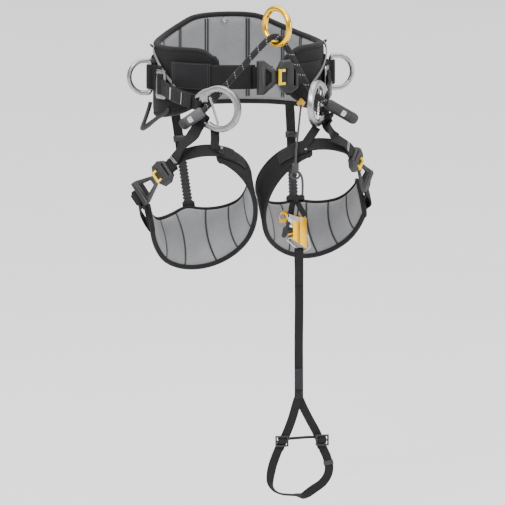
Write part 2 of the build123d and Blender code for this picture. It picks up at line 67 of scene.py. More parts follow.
# ---- sizes shared with the CAD model --------------------------------------------------------
WAIST_A, WAIST_B = 150 * MM, 125 * MM
WAIST_PROFILE = [(0, 82.5, -76), (12, 82, -76), (24, 79.5, -76), (33, 70, -76), (43, 61, -76.5),
                 (57, 51, -77), (75, 45, -79), (90, 43, -80.5), (109, 43.5, -76),
                 (126, 45, -67), (143, 45.5, -47), (150, 38, -36), (154.5, 22, -24)]
WAIST_TIP = 154.5
BELT_WEB, LEG_WEB, RISER_WEB, FOOT_WEB = 44 * MM, 28 * MM, 20 * MM, 16 * MM
WEB = 2.4 * MM
SHELL = 5 * MM

LEG_A, LEG_B = 95 * MM, 113 * MM
LEG_CENTRES = {"right": np.array([-101, -138, -209]) * MM, "left": np.array([104, -138, -203]) * MM}
LEG_AXIS = np.array([0, -0.731, -0.682])
LEG_UP = np.array([0, -0.651, 0.759])
LEG_PROFILE = {
    "right": [(-168, -12, 15), (-110, -16, 48), (-65, -25, 65), (0, -68, 72), (45, -12, 78), (82, 10, 60)],
    "left": [(-168, -12, 15), (-110, -16, 42), (-65, -25, 60), (0, -68, 62), (50, -36, 56), (82, -26, 46)],
}
LEG_BUCKLES = {
    "right": (np.array([-190, -187, -172]) * MM, np.array([0.64, -0.36, 0.68]),
              np.array([-0.67, -0.70, 0.26])),
    "left": (np.array([182, -183, -159]) * MM, np.array([-0.45, -0.45, 0.77]),
             np.array([0.75, -0.60, 0.10])),
}
LEG_JOINED = 147            # degrees round the leg where the front strap is sewn to the front riser
RING_CENTRES = {"right": np.array([-77, -200, -47]) * MM, "left": np.array([101, -200, -42]) * MM}
RING_YAWS = {"right": 38.0, "left": 60.0}
ROPE_D = 11 * MM
BRIDGE_ROUTE = [(-110.2, -196.1, -54.8), (-105.4, -198.6, -49), (-82.2, -169.9, -35),
                (7, -199, 73.5), (24, -200.5, 82.5), (39, -200.5, 75.5), (84, -200.5, -11.5),
                (98, -200.5, -26.5), (118, -200, -41.8)]
BRIDGE_SLEEVES = {"right": ((-106.7, -198.1, -50.5), (-143, -180, -79)),
                  "left": ((118, -200, -41.8), (175.9, -190, -76))}
KIT_Y = -232.0              # millimetres, how far forward the cord and the ascender hang
CORD_D = 3.8 * MM
CORD_ROUTE = [(90, -116, -56), (59, -221, -119), (56, KIT_Y, -129), (55, KIT_Y, -144)]

WAIST_ARC, TIP_ARC, LEG_ARC = 0.138, 0.125, 0.105     # mean radii that turn degrees into metres of cloth
EASING = (1, 2, 3, 2, 1)    # weights that round a profile's corners

X, Y, Z = np.eye(3)


# ---- camera ---------------------------------------------------------------------------------
FIELD = 0.909               # width of the view at the belt
LENS, SENSOR = 1100, 36     # a very long lens, so that depth hardly changes sizes
AIM_RIGHT, AIM_UP = 0.0252, -0.3326


def make_camera():
    """The photographed view: from the wearer's right front, a little above the belt."""
    azimuth, elevation = math.radians(-12), math.radians(8)
    right = np.array([math.cos(azimuth), math.sin(azimuth), 0])
    back = np.array([math.sin(azimuth) * math.cos(elevation),
                     -math.cos(azimuth) * math.cos(elevation), math.sin(elevation)])
    up = np.cross(back, right)
    aim = right * AIM_RIGHT + up * AIM_UP
    data = bpy.data.cameras.new("camera")
    data.lens, data.sensor_width = LENS, SENSOR
    camera = bpy.data.objects.new("camera", data)
    bpy.context.collection.objects.link(camera)
    camera.location = Vector(aim + back * FIELD * LENS / SENSOR)
    camera.rotation_euler = (Vector(aim) - camera.location).to_track_quat("-Z", "Y").to_euler()
    bpy.context.scene.camera = camera


# ---- node materials -------------------------------------------------------------------------
class Paint:
    """A node material and short ways to wire its textures."""

    def __init__(self, name, rough, metallic=0.0, **sockets):
        self.mat = bpy.data.materials.new(name)
        self.mat.use_nodes = True
        self.tree = self.mat.node_tree
        self.shader = self.tree.nodes["Principled BSDF"]
        self.shader.inputs["Roughness"].default_value = rough
        self.shader.inputs["Metallic"].default_value = metallic
        for socket, value in sockets.items():
            self.shader.inputs[socket.replace("_", " ")].default_value = value

    def node(self, kind, **settings):
        made = self.tree.nodes.new(kind)
        for key, value in settings.items():
            if key in made.inputs:
                made.inputs[key].default_value = value
            else:
                setattr(made, key, value)
        return made

    def link(self, out, into):
        self.tree.links.new(out, into)

    def weave_axes(self):
        """Distances along and across a piece's own cloth, in metres."""
        attribute = self.node("ShaderNodeAttribute", attribute_name="weave")
        split = self.node("ShaderNodeSeparateXYZ")
        self.link(attribute.outputs["Vector"], split.inputs[0])
        return split.outputs[0], split.outputs[1]

    def place(self):
        return self.node("ShaderNodeTexCoord").outputs["Object"]

    def maths(self, operation, a, b=None, c=None):
        made = self.node("ShaderNodeMath", operation=operation)
        for socket, value in zip(made.inputs, (a, b, c)):
            if value is None:
                continue
            if isinstance(value, (int, float)):
                socket.default_value = value
            else:
                self.link(value, socket)
        return made.outputs[0]

    def wave(self, value, pitch, shift=0.0):
        """Sine of a distance, 0 to 1, that repeats every pitch."""
        turn = self.maths("MULTIPLY_ADD", value, 2 * math.pi / pitch, shift)
        return self.maths("MULTIPLY_ADD", self.maths("SINE", turn), 0.5, 0.5)

    def speckle(self, scale, detail=3.0, vector=None):
        made = self.node("ShaderNodeTexNoise", Scale=scale, Detail=detail, Roughness=0.6)
        self.link(vector or self.place(), made.inputs["Vector"])
        return made.outputs["Fac"]

    def ramp(self, value, low, high, dark, light):
        made = self.node("ShaderNodeMapRange")
        self.link(value, made.inputs["Value"])
        for socket, number in zip(("From Min", "From Max", "To Min", "To Max"), (low, high, dark, light)):
            made.inputs[socket].default_value = number
        return made.outputs["Result"]

    def tint(self, factor, dark, light):
        """Colour between two, each a colour or a node's output, wired to the base colour."""
        mix = self.node("ShaderNodeMix", data_type="RGBA")
        self.link(factor, mix.inputs["Factor"])
        sockets = [s for s in mix.inputs if s.type == "RGBA"]
        for socket, colour in zip(sockets, (dark, light)):
            if isinstance(colour, tuple):
                socket.default_value = (*colour, 1)
            else:
                self.link(colour, socket)
        result = [s for s in mix.outputs if s.type == "RGBA"][0]
        self.link(result, self.shader.inputs["Base Color"])
        return result

    def rough(self, factor, low, high):
        self.link(self.ramp(factor, 0.3, 0.7, low, high), self.shader.inputs["Roughness"])

    def bump(self, height, depth, strength=1.0, under=None):
        made = self.node("ShaderNodeBump", Strength=strength, Distance=depth)
        self.link(height, made.inputs["Height"])
        if under is not None:
            self.link(under, made.inputs["Normal"])
        self.link(made.outputs[0], self.shader.inputs["Normal"])
        return made.outputs[0]


def webbing_paint(name, dark, light, pitch=1.5 * MM, sheen=0.03):
    """Woven tape: lengthwise cords crossed by a fine herringbone."""
    paint = Paint(name, 0.75, Sheen_Weight=sheen, Sheen_Roughness=0.45, Specular_IOR_Level=0.25)
    along, across = paint.weave_axes()
    ribs = paint.wave(across, pitch)
    fold = paint.maths("PINGPONG", across, 4 * MM)
    slant = paint.maths("ADD", along, fold)
    chevron = paint.wave(slant, 1.1 * MM)
    cloth = paint.maths("MULTIPLY_ADD", ribs, 0.55, paint.maths("MULTIPLY", chevron, 0.45))
    dust = paint.speckle(38, 5)
    shade = paint.maths("MULTIPLY_ADD", dust, 0.55, paint.maths("MULTIPLY", cloth, 0.45))
    paint.tint(paint.ramp(shade, 0.25, 0.75, 0, 1), dark, light)
    paint.rough(dust, 0.62, 0.85)
    fuzz = paint.bump(paint.speckle(900, 2), 0.12 * MM, 0.5)
    paint.bump(cloth, 0.35 * MM, 0.9, fuzz)
    return paint.mat


def shell_paint(name, dark, light):
    """Plain-woven pack cloth with a slightly worn nap."""
    paint = Paint(name, 0.8, Sheen_Weight=0.03, Sheen_Roughness=0.5, Specular_IOR_Level=0.25)
    along, across = paint.weave_axes()
    warp = paint.wave(along, 1.0 * MM)
    weft = paint.wave(across, 1.0 * MM)
    cloth = paint.maths("MULTIPLY", warp, weft)
    patches = paint.speckle(18, 6)
    shade = paint.maths("MULTIPLY_ADD", patches, 0.8, paint.maths("MULTIPLY", cloth, 0.25))
    paint.tint(paint.ramp(shade, 0.25, 0.8, 0, 1), dark, light)
    paint.rough(patches, 0.68, 0.9)
    soft = paint.bump(paint.speckle(55, 4), 0.5 * MM, 0.35)
    paint.bump(cloth, 0.28 * MM, 0.8, soft)
    return paint.mat


def pad_paint(name):
    """Pale brushed spacer mesh over foam, with near-black painted shade down in the sewn channels."""
    paint = Paint(name, 0.88, Sheen_Weight=0.15, Sheen_Roughness=0.6)
    along, across = paint.weave_axes()
    cells = paint.node("ShaderNodeTexVoronoi", Scale=620.0)
    paint.link(paint.place(), cells.inputs["Vector"])
    # the channel attribute masks the painted shade in the sewn channels
    depth = paint.node("ShaderNodeAttribute", attribute_name="channel").outputs["Fac"]
    mottle = paint.speckle(22, 6)
    fine = paint.speckle(260, 3)
    shade = paint.maths("MULTIPLY_ADD", fine, 0.35, paint.maths("MULTIPLY", mottle, 0.65))
    cloth = paint.tint(paint.ramp(shade, 0.3, 0.7, 0, 1), (0.155, 0.157, 0.163), (0.225, 0.228, 0.236))
    # painted shade: the base colour goes near black where the channel mask is high, down in the sewn
    # channels
    paint.tint(paint.ramp(depth, 0.10, 0.55, 0, 1), cloth, (0.006, 0.006, 0.007))
    paint.rough(mottle, 0.8, 0.95)
    ribs = paint.maths("MULTIPLY", paint.wave(along, 1.6 * MM), paint.wave(across, 1.6 * MM))
    knit = paint.bump(cells.outputs["Distance"], 0.25 * MM, 0.7)
    paint.bump(ribs, 0.15 * MM, 0.5, knit)
    return paint.mat


BRAID_WAVE = 1500           # radians of braid to a metre of rope
BRAID_TURNS = 8             # strands of each hand round the rope
TRACER_PITCH = 0.021


def rope_paint(name):
    """Braided cover with pale tracer flecks that wind round the rope."""
    paint = Paint(name, 0.7, Sheen_Weight=0.03, Sheen_Roughness=0.4, Specular_IOR_Level=0.25)
    along, turn = paint.weave_axes()
    strands = []
    for twist in (BRAID_TURNS, -BRAID_TURNS):
        lean = paint.maths("MULTIPLY", turn, twist)
        strands.append(paint.maths("SINE", paint.maths("MULTIPLY_ADD", along, BRAID_WAVE, lean)))
    braid = paint.maths("MULTIPLY_ADD", paint.maths("MULTIPLY", *strands), 0.5, 0.5)
    wind = paint.maths("MULTIPLY_ADD", along, 2 * math.pi / TRACER_PITCH, turn)
    line = paint.maths("COSINE", wind)
    near = paint.ramp(line, 0.95, 0.98, 0, 1)
    dash = paint.maths("SINE", paint.maths("MULTIPLY", turn, 9))
    fleck = paint.maths("MULTIPLY", near, paint.ramp(dash, 0.4, 0.7, 0, 1))
    dust = paint.speckle(60, 4)
    base = paint.tint(paint.ramp(dust, 0.3, 0.75, 0, 1), (0.006, 0.006, 0.007), (0.020, 0.020, 0.022))
    paint.tint(fleck, base, (0.42, 0.42, 0.40))
    paint.bump(braid, 0.5 * MM, 0.9, paint.bump(paint.speckle(1100, 2), 0.1 * MM, 0.5))
    return paint.mat


def plastic_paint(name, dark, light, rough=(0.38, 0.55), grain=0.06 * MM, **sockets):
    """Moulded plastic with spark grain and dulled patches."""
    paint = Paint(name, 0.45, **sockets)
    patches = paint.speckle(30, 5)
    paint.tint(paint.ramp(patches, 0.35, 0.7, 0, 1), dark, light)
    paint.rough(patches, *rough)
    wide = paint.bump(paint.speckle(140, 2), 0.2 * MM, 0.15)
    paint.bump(paint.speckle(1400, 2), grain, 0.7, wide)
    return paint.mat


def metal_paint(name, dark, light, rough, brushed=0.0, **sockets):
    """Anodised or polished metal: cloudy roughness, hairline scratches."""
    paint = Paint(name, rough[0], 1.0, **sockets)
    cloud = paint.speckle(45, 5)
    stretch = paint.node("ShaderNodeMapping")
    stretch.inputs["Scale"].default_value = (1, 1, 0.06)
    paint.link(paint.place(), stretch.inputs["Vector"])
    hair = paint.speckle(1500, 3, stretch.outputs[0])
    paint.tint(paint.ramp(cloud, 0.3, 0.7, 0, 1), dark, light)
    paint.rough(paint.maths("MULTIPLY_ADD", hair, 0.4, paint.maths("MULTIPLY", cloud, 0.6)), *rough)
    paint.bump(hair, 0.05 * MM, 0.25 + brushed, paint.bump(paint.speckle(300, 3), 0.08 * MM, 0.25))
    return paint.mat


def make_paints():
    """Every paint by name: its maker, its name, its dark and light colours, then what differs."""
    rows = [
        (webbing_paint, "black_webbing", (0.003, 0.003, 0.0035), (0.012, 0.012, 0.013)),
        (webbing_paint, "binding", (0.003, 0.003, 0.0035), (0.012, 0.012, 0.013), 1.0 * MM),
        (webbing_paint, "stay_tape", (0.12, 0.12, 0.125), (0.26, 0.26, 0.27), 1.0 * MM),
        (webbing_paint, "ribbed_elastic", (0.008, 0.008, 0.009), (0.045, 0.045, 0.048), 0.8 * MM),
        (webbing_paint, "label_cloth", (0.014, 0.014, 0.016), (0.03, 0.03, 0.033), 0.7 * MM),
        (webbing_paint, "grey_cord", (0.03, 0.03, 0.032), (0.10, 0.10, 0.105), 0.9 * MM),
        (shell_paint, "shell_cloth", (0.003, 0.003, 0.0035), (0.009, 0.009, 0.010)),
        (shell_paint, "sleeve_cloth", (0.006, 0.006, 0.007), (0.020, 0.020, 0.022)),
        (pad_paint, "pad_mesh"),
        (rope_paint, "bridge_cover"),
        (plastic_paint, "dark_plastic", (0.010, 0.010, 0.011), (0.026, 0.026, 0.028)),
        (plastic_paint, "sleeve_rubber", (0.035, 0.035, 0.037), (0.075, 0.075, 0.08), (0.4, 0.6)),
        (plastic_paint, "dark_rubber", (0.006, 0.006, 0.007), (0.02, 0.02, 0.022), (0.45, 0.65)),
        (plastic_paint, "latch_yellow", (0.80, 0.52, 0.003), (0.92, 0.62, 0.008), (0.28, 0.42)),
        (plastic_paint, "amber_tab", (0.50, 0.26, 0.004), (0.66, 0.36, 0.008), (0.25, 0.4)),
        (metal_paint, "forged_aluminium", (0.30, 0.30, 0.305), (0.42, 0.42, 0.425), (0.24, 0.38)),
        (metal_paint, "bright_steel", (0.66, 0.66, 0.66), (0.8, 0.8, 0.8), (0.16, 0.28)),
        (metal_paint, "pale_steel", (0.72, 0.72, 0.73), (0.85, 0.85, 0.85), (0.3, 0.45)),
        (metal_paint, "gold_ring", (0.94, 0.50, 0.015), (1.0, 0.60, 0.03), (0.18, 0.28)),
        (metal_paint, "gold_frame", (0.94, 0.47, 0.010), (1.0, 0.56, 0.02), (0.22, 0.36)),
        (metal_paint, "dark_metal", (0.32, 0.32, 0.325), (0.46, 0.46, 0.465), (0.28, 0.42)),
        (metal_paint, "link_steel", (0.38, 0.38, 0.385), (0.52, 0.52, 0.525), (0.22, 0.36)),
        (metal_paint, "black_cam", (0.03, 0.03, 0.032), (0.07, 0.07, 0.072), (0.3, 0.5)),
        (plastic_paint, "white_thread", (0.45, 0.45, 0.45), (0.65, 0.65, 0.65), (0.6, 0.8)),
        (plastic_paint, "dark_thread", (0.030, 0.030, 0.032), (0.055, 0.055, 0.058), (0.6, 0.8)),
    ]
    return {name: maker(name, *looks) for maker, name, *looks in rows}


# ---- mesh helpers ---------------------------------------------------------------------------
def unit(v):
    return v / np.linalg.norm(v)


def vec(*numbers):
    """Point given in millimetres."""
    return np.array(numbers, float) * MM


def path(*points):
    """List of points given in millimetres."""
    return [vec(*point) for point in points]


def line_length(line):
    return float(np.linalg.norm(np.diff(line, axis=0), axis=1).sum())


def line_tangents(line, closed):
    tangent = np.roll(line, -1, 0) - np.roll(line, 1, 0) if closed else np.gradient(line, axis=0)
    return tangent / np.linalg.norm(tangent, axis=1)[:, None]


def tube_faces(rings, count, base=0, closed=False):
    """Faces over rings of points, with a cap at each end of an open tube."""
    faces = []
    for i in range(rings if closed else rings - 1):
        here = base + i * count
        after = base + (i + 1) % rings * count
        for k in range(count):
            m = (k + 1) % count
            faces.append((here + k, here + m, after + m, after + k))
    if not closed:
        faces.append(tuple(base + k for k in reversed(range(count))))
        faces.append(tuple(base + (rings - 1) * count + k for k in range(count)))
    return faces


def mesh_piece(name, verts, faces, paint, body, weave=None, channel=None, smooth=True):
    """Mesh object that rides on a body, with its cloth coordinates stored on the points."""
    data = bpy.data.meshes.new(name)
    data.from_pydata([tuple(v) for v in verts], [], faces)
    data.validate()
    if weave is not None:
        layer = data.attributes.new("weave", "FLOAT_VECTOR", "POINT")
        layer.data.foreach_set("vector", np.asarray(weave, np.float32).ravel())
    # channel: mask of the painted shade in a pad's sewn channels
    if channel is not None:
        layer = data.attributes.new("channel", "FLOAT", "POINT")
        layer.data.foreach_set("value", np.asarray(channel, np.float32).ravel())
    data.polygons.foreach_set("use_smooth", [smooth] * len(data.polygons))
    data.materials.append(PAINTS[paint])
    piece = bpy.data.objects.new(name, data)
    bpy.context.collection.objects.link(piece)
    if body:
        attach(piece, body)
    return piece


def smooth_line(points, spacing=3 * MM, closed=False):
    """Points along a Catmull-Rom curve through the given ones."""
    given = [np.asarray(p, float) for p in points]
    if closed:
        given = [given[-1]] + given + given[:2]
    else:
        given = [2 * given[0] - given[1]] + given + [2 * given[-1] - given[-2]]
    line = []
    for a, b, c, d in zip(given, given[1:], given[2:], given[3:]):
        count = max(2, int(np.linalg.norm(c - b) / spacing))
        for i in range(count):
            t = i / count
            line.append(0.5 * (2 * b + (c - a) * t + (2 * a - 5 * b + 4 * c - d) * t ** 2
                               + (3 * b - a - 3 * c + d) * t ** 3))
    if not closed:
        line.append(given[-2])
    return np.array(line)


def spread(values, count):
    """Values given at a few even stations, read at many."""
    values = np.array(values, float)
    if values.ndim == 1:
        return np.tile(values, (count, 1))
    spots = np.linspace(0, len(values) - 1, count)
    low = np.floor(spots).astype(int).clip(0, len(values) - 2)
    share = (spots - low)[:, None]
    return values[low] * (1 - share) + values[low + 1] * share


def line_frames(line, across, closed=False):
    """Width direction and face direction at each point of a line."""
    tangent = line_tangents(line, closed)
    given = np.ndim(across) == 2 and len(across) == len(line)
    side = np.array(across, float) if given else spread(across, len(line))
    side = side - tangent * (side * tangent).sum(1)[:, None]
    side /= np.linalg.norm(side, axis=1)[:, None]
    return side, np.cross(tangent, side)


def swept(name, line, side, face, outline, paint, body, closed=False, scale=None):
    """Sweeps a closed outline of (across, out) points along a line."""
    steps = np.linalg.norm(np.diff(line, axis=0), axis=1)
    along = np.concatenate([[0], np.cumsum(steps)])
    outline = np.array(outline, float)
    verts, weave = [], []
    loop = np.concatenate([[0], np.cumsum(np.linalg.norm(np.diff(outline, axis=0), axis=1))])
    for i in range(len(line)):
        size = 1.0 if scale is None else scale[i]
        for (a, o), girth in zip(outline, loop):
            verts.append(line[i] + side[i] * a * size + face[i] * o * size)
            weave.append((along[i], girth, 0))
    faces = tube_faces(len(line), len(outline), closed=closed)
    return mesh_piece(name, verts, faces, paint, body, weave)


def tape_outline(width, thick, lip=0.0):
    """Webbing section: flat faces, rounded selvedges, and a slightly thicker middle."""
    half, t = width / 2, thick / 2
    points = []
    for i in range(9):
        a = -half + t + (width - 2 * t) * i / 8
        points.append((a, -t * (1 + lip * (1 - (a / half) ** 2))))
    points += [(half - t * 0.3, -t * 0.75), (half, 0), (half - t * 0.3, t * 0.75)]
    for i in range(9):
        a = half - t - (width - 2 * t) * i / 8
        points.append((a, t * (1 + lip * (1 - (a / half) ** 2))))
    points += [(-half + t * 0.3, t * 0.75), (-half, 0), (-half + t * 0.3, -t * 0.75)]
    return points


class Tape:
    """A strap of webbing: keeps its line, so that stitches and keepers can sit on it."""

    def __init__(self, name, points, across, width, body, paint="black_webbing", thick=WEB, spacing=3 * MM,
                 smooth=True, lip=0.15):
        points = [np.asarray(p, float) for p in points]
        if smooth and len(points) > 2:
            self.line = smooth_line(points, spacing)
        else:
            self.line = spread(points, max(2, int(line_length(points) / spacing)))
        self.side, self.face = line_frames(self.line, across)
        self.width, self.thick = width, thick
        outline = tape_outline(width, thick, lip)
        self.piece = swept(name, self.line, self.side, self.face, outline, paint, body)

    def facing(self, index, direction):
        """1 where the face looks along a direction, -1 where it looks away."""
        return 1 if self.face[index].dot(direction) > 0 else -1

    def spot(self, share, across, lift):
        """Point at a share of the length, across the width, lifted off a face, and the face's direction."""
        at = share * (len(self.line) - 1)
        i = int(min(at, len(self.line) - 2))
        f = at - i
        base = self.line[i] * (1 - f) + self.line[i + 1] * f
        return base + self.side[i] * across + self.face[i] * lift, self.face[i]


THREAD_LIFT = 1.12          # height of a thread over a tape's middle, in half thicknesses
THREAD_SIDES = 6


def edge_rows(start, stop, edge):
    """Two rows of stitches along a tape."""
    return [((start, s * edge), (stop, s * edge)) for s in (-1, 1)]


def cross_rows(shares, edge):
    """Rows of stitches across a tape."""
    return [((share, -edge), (share, edge)) for share in shares]


def tacks(name, tape, shares, edge, body, face):
    """Bold white rows across a tape."""
    stitches(name, tape, cross_rows(shares, edge), body, face, "white_thread",
             pitch=1.9 * MM, stitch=1.9 * MM, size=0.6 * MM)


def stitches(name, tape, rows, body, face=1, paint="dark_thread", pitch=3.0 * MM, stitch=2.0 * MM,
             size=0.45 * MM):
    """Rows of short thread loops on a tape. A row is (share, across) to (share, across)."""
    verts, faces = [], []
    for (s0, a0), (s1, a1) in rows:
        row = tape.spot(s1, a1, 0)[0] - tape.spot(s0, a0, 0)[0]
        count = max(1, int(np.linalg.norm(row) / pitch))
        for i in range(count):
            t = (i + 0.5) / count
            lift = face * (tape.thick / 2 * THREAD_LIFT)
            centre, normal = tape.spot(s0 + (s1 - s0) * t, a0 + (a1 - a0) * t, lift)
            run = unit(row)
            run = unit(run - normal * run.dot(normal))
            thread_loop(verts, faces, centre, run, normal * face, stitch, size)
    return mesh_piece(name, verts, faces, paint, body)


def thread_loop(verts, faces, centre, run, out, length, size):
    """One stitch: a small rounded bar that dips into the cloth at both ends."""
    cross = np.cross(run, out)
    base = len(verts)
    stations = [(-0.5, -0.5, 0.4), (-0.3, 0.3, 1.0), (0.3, 0.3, 1.0), (0.5, -0.5, 0.4)]
    for s, rise, fat in stations:
        middle = centre + run * length * s + out * size * rise
        for k in range(THREAD_SIDES):
            a = k * math.pi / (THREAD_SIDES / 2)
            verts.append(middle + cross * math.cos(a) * size * fat + out * math.sin(a) * size * fat)
    faces.extend(tube_faces(len(stations), THREAD_SIDES, base))


def round_outline(across, out, count=16):
    return [(across * math.cos(2 * math.pi * k / count), out * math.sin(2 * math.pi * k / count))
            for k in range(count)]


def cord_piece(name, line, radius, paint, body, closed=False, count=14, scale=None):
    """Round cord along a line. Its weave runs along the cord and round it."""
    tangent = line_tangents(line, closed)
    side = np.empty_like(line)
    start = Z if abs(tangent[0][2]) < 0.9 else X
    side[0] = unit(start - tangent[0] * start.dot(tangent[0]))
    for i in range(1, len(line)):
        held = side[i - 1] - tangent[i] * side[i - 1].dot(tangent[i])
        side[i] = unit(held)
    face = np.cross(tangent, side)
    outline = round_outline(radius, radius, count)
    piece = swept(name, line, side, face, outline, paint, body, closed, scale)
    layer = piece.data.attributes["weave"]
    values = np.empty(len(layer.data) * 3, np.float32)
    layer.data.foreach_get("vector", values)
    values = values.reshape(-1, 3)
    values[:, 1] = np.tile(2 * math.pi * np.arange(count) / count, len(line))
    layer.data.foreach_set("vector", values.ravel())
    return piece


def cord_line(route):
    """Points read from the smooth line of a cord's route."""
    data = bpy.data.curves.new("route", "CURVE")
    data.dimensions = "3D"
    spline = data.splines.new("NURBS")
    spline.points.add(len(route) - 1)
    for point, spot in zip(spline.points, route):
        point.co = (*[c * MM for c in spot], 1)
    spline.order_u = 3
    spline.use_endpoint_u = True
    spline.resolution_u = 14
    guide = bpy.data.objects.new("route", data)
    bpy.context.collection.objects.link(guide)
    mesh = bpy.data.meshes.new_from_object(guide)
    line = np.array([tuple(v.co) for v in mesh.vertices])
    bpy.data.objects.remove(guide)
    bpy.data.meshes.remove(mesh)
    return line


def grid_slab(name, outer, inner, nu, nv, paint, body, channel=None):
    """Closed slab between two surfaces given as functions of (u, v), each 0 to 1."""
    verts, weave, channel_shade, runs = [], [], [], []
    for surface, shown in ((outer, 0), (inner, 1)):
        for i in range(nu + 1):
            for j in range(nv + 1):
                u, v = i / nu, j / nv
                verts.append(surface(u, v))
                weave.append(slab_weave(verts, runs, i, j, nv))
                # inner face only: the mask of the painted shade in the pad's sewn channels
                channel_shade.append(channel(u, v) if channel and shown else 0.0)
    faces = []
    offset = (nu + 1) * (nv + 1)
    row = nv + 1
    for i in range(nu):
        for j in range(nv):
            a, b, c, d = i * row + j, (i + 1) * row + j, (i + 1) * row + j + 1, i * row + j + 1
            faces.append((a, b, c, d))
            faces.append((offset + d, offset + c, offset + b, offset + a))
    rim = [i * row for i in range(nu + 1)] + [nu * row + j for j in range(1, nv + 1)]
    rim += [i * row + nv for i in range(nu - 1, -1, -1)] + [j for j in range(nv - 1, 0, -1)]
    for a, b in zip(rim, rim[1:] + rim[:1]):
        faces.append((b, a, offset + a, offset + b))
    return mesh_piece(name, verts, faces, paint, body, weave, channel_shade)


def slab_weave(verts, runs, i, j, nv):
    """Distance of the newest point from its row's and its column's start."""
    here = verts[-1]
    up = np.linalg.norm(here - verts[-1 - j]) if j else 0.0
    back = len(verts) - 2 - nv
    runs.append(runs[back] + np.linalg.norm(here - verts[back]) if i else 0.0)
    return (runs[-1], up, 0)


def channel_depth(point, lines, half):
    """1 on a sewn line, falling to 0 at half a width away. It masks the painted shade in a pad's sewn
    channels.
    """
    return max(0.0, 1 - line_distance(point, lines) / half)


def line_distance(point, lines):
    best = 1.0
    px, py = point
    for line in lines:
        for (ax, ay), (bx, by) in zip(line, line[1:]):
            dx, dy = bx - ax, by - ay
            t = ((px - ax) * dx + (py - ay) * dy) / (dx * dx + dy * dy)
            t = min(1.0, max(0.0, t))
            best = min(best, math.hypot(px - ax - t * dx, py - ay - t * dy))
    return best


def pillow(distance, radius):
    """Height of padding that rises from a seam in a quarter round, 0 to 1."""
    t = min(distance / radius, 1.0)
    return math.sqrt(max(0.0, 1 - (1 - t) ** 2))


def between(table, value):
    keys = [row[0] for row in table]
    return [float(np.interp(value, keys, [row[k] for row in table])) for k in range(1, len(table[0]))]


# ---- places ---------------------------------------------------------------------------------
def waist_point(angle, offset=0.0, z=0.0):
    turn = math.radians(angle)
    out = unit(np.array([math.sin(turn) / WAIST_A, math.cos(turn) / WAIST_B, 0]))
    return np.array([WAIST_A * math.sin(turn), WAIST_B * math.cos(turn), z]) + out * offset


def eased(table, angles):
    """Two edges in metres, averaged over five angles round the middle one."""
    samples = [between(table, angle) for angle in angles]
    return [sum(w * s[k] for w, s in zip(EASING, samples)) / sum(EASING) * MM for k in (0, 1)]


def waist_edges(angle):
    """Top and bottom of the belt."""
    return eased(WAIST_PROFILE, [min(abs(angle + d), WAIST_TIP) for d in (-6, -3, 0, 3, 6)])


def leg_point(side, angle, offset=0.0, along=0.0):
    turn = math.radians(angle)
    outwards = X * SIDES[side]
    normal = unit(outwards * (math.sin(turn) / LEG_A) - LEG_UP * (math.cos(turn) / LEG_B))
    ring = outwards * (LEG_A * math.sin(turn)) - LEG_UP * (LEG_B * math.cos(turn))
    return LEG_CENTRES[side] + ring + normal * offset + LEG_AXIS * along


def leg_edges(side, angle):
    """Rear and front of a leg pad."""
    return eased(LEG_PROFILE[side], [angle + d for d in (-8, -4, 0, 4, 8)])


def ring_spot(side, out, up, depth=0.0):
    """Point on a gated ring, in millimetres: out to its webbing side, up, and behind its face."""
    sign = SIDES[side]
    yaw = math.radians(sign * RING_YAWS[side])
    x, y = sign * out, depth
    across = x * math.cos(yaw) - y * math.sin(yaw)
    back = x * math.sin(yaw) + y * math.cos(yaw)
    return RING_CENTRES[side] + vec(across, back, up)


def buckle_point(side, x, y, z=0.0):
    """Point on a leg buckle, in millimetres: along the strap, inwards, and across."""
    origin, along, outwards = LEG_BUCKLES[side]
    along = unit(along)
    outwards = unit(outwards - along * outwards.dot(along))
    return origin + (along * x - outwards * y + np.cross(along, -outwards) * z) * MM


def buckle_across(side):
    return unit(buckle_point(side, 0, 0, 1) - buckle_point(side, 0, 0, 0))


# ---- waist ----------------------------------------------------------------------------------
WAIST_CHANNELS = [-95, -62, -38, -14, 16.5, 44, 62, 95]     # middles of the double seams, degrees
SEAM_HALF_GAP = 2.3 * MM
RIM_ROUND = 9 * MM          # width over which a panel's cloth rises from its bound edge


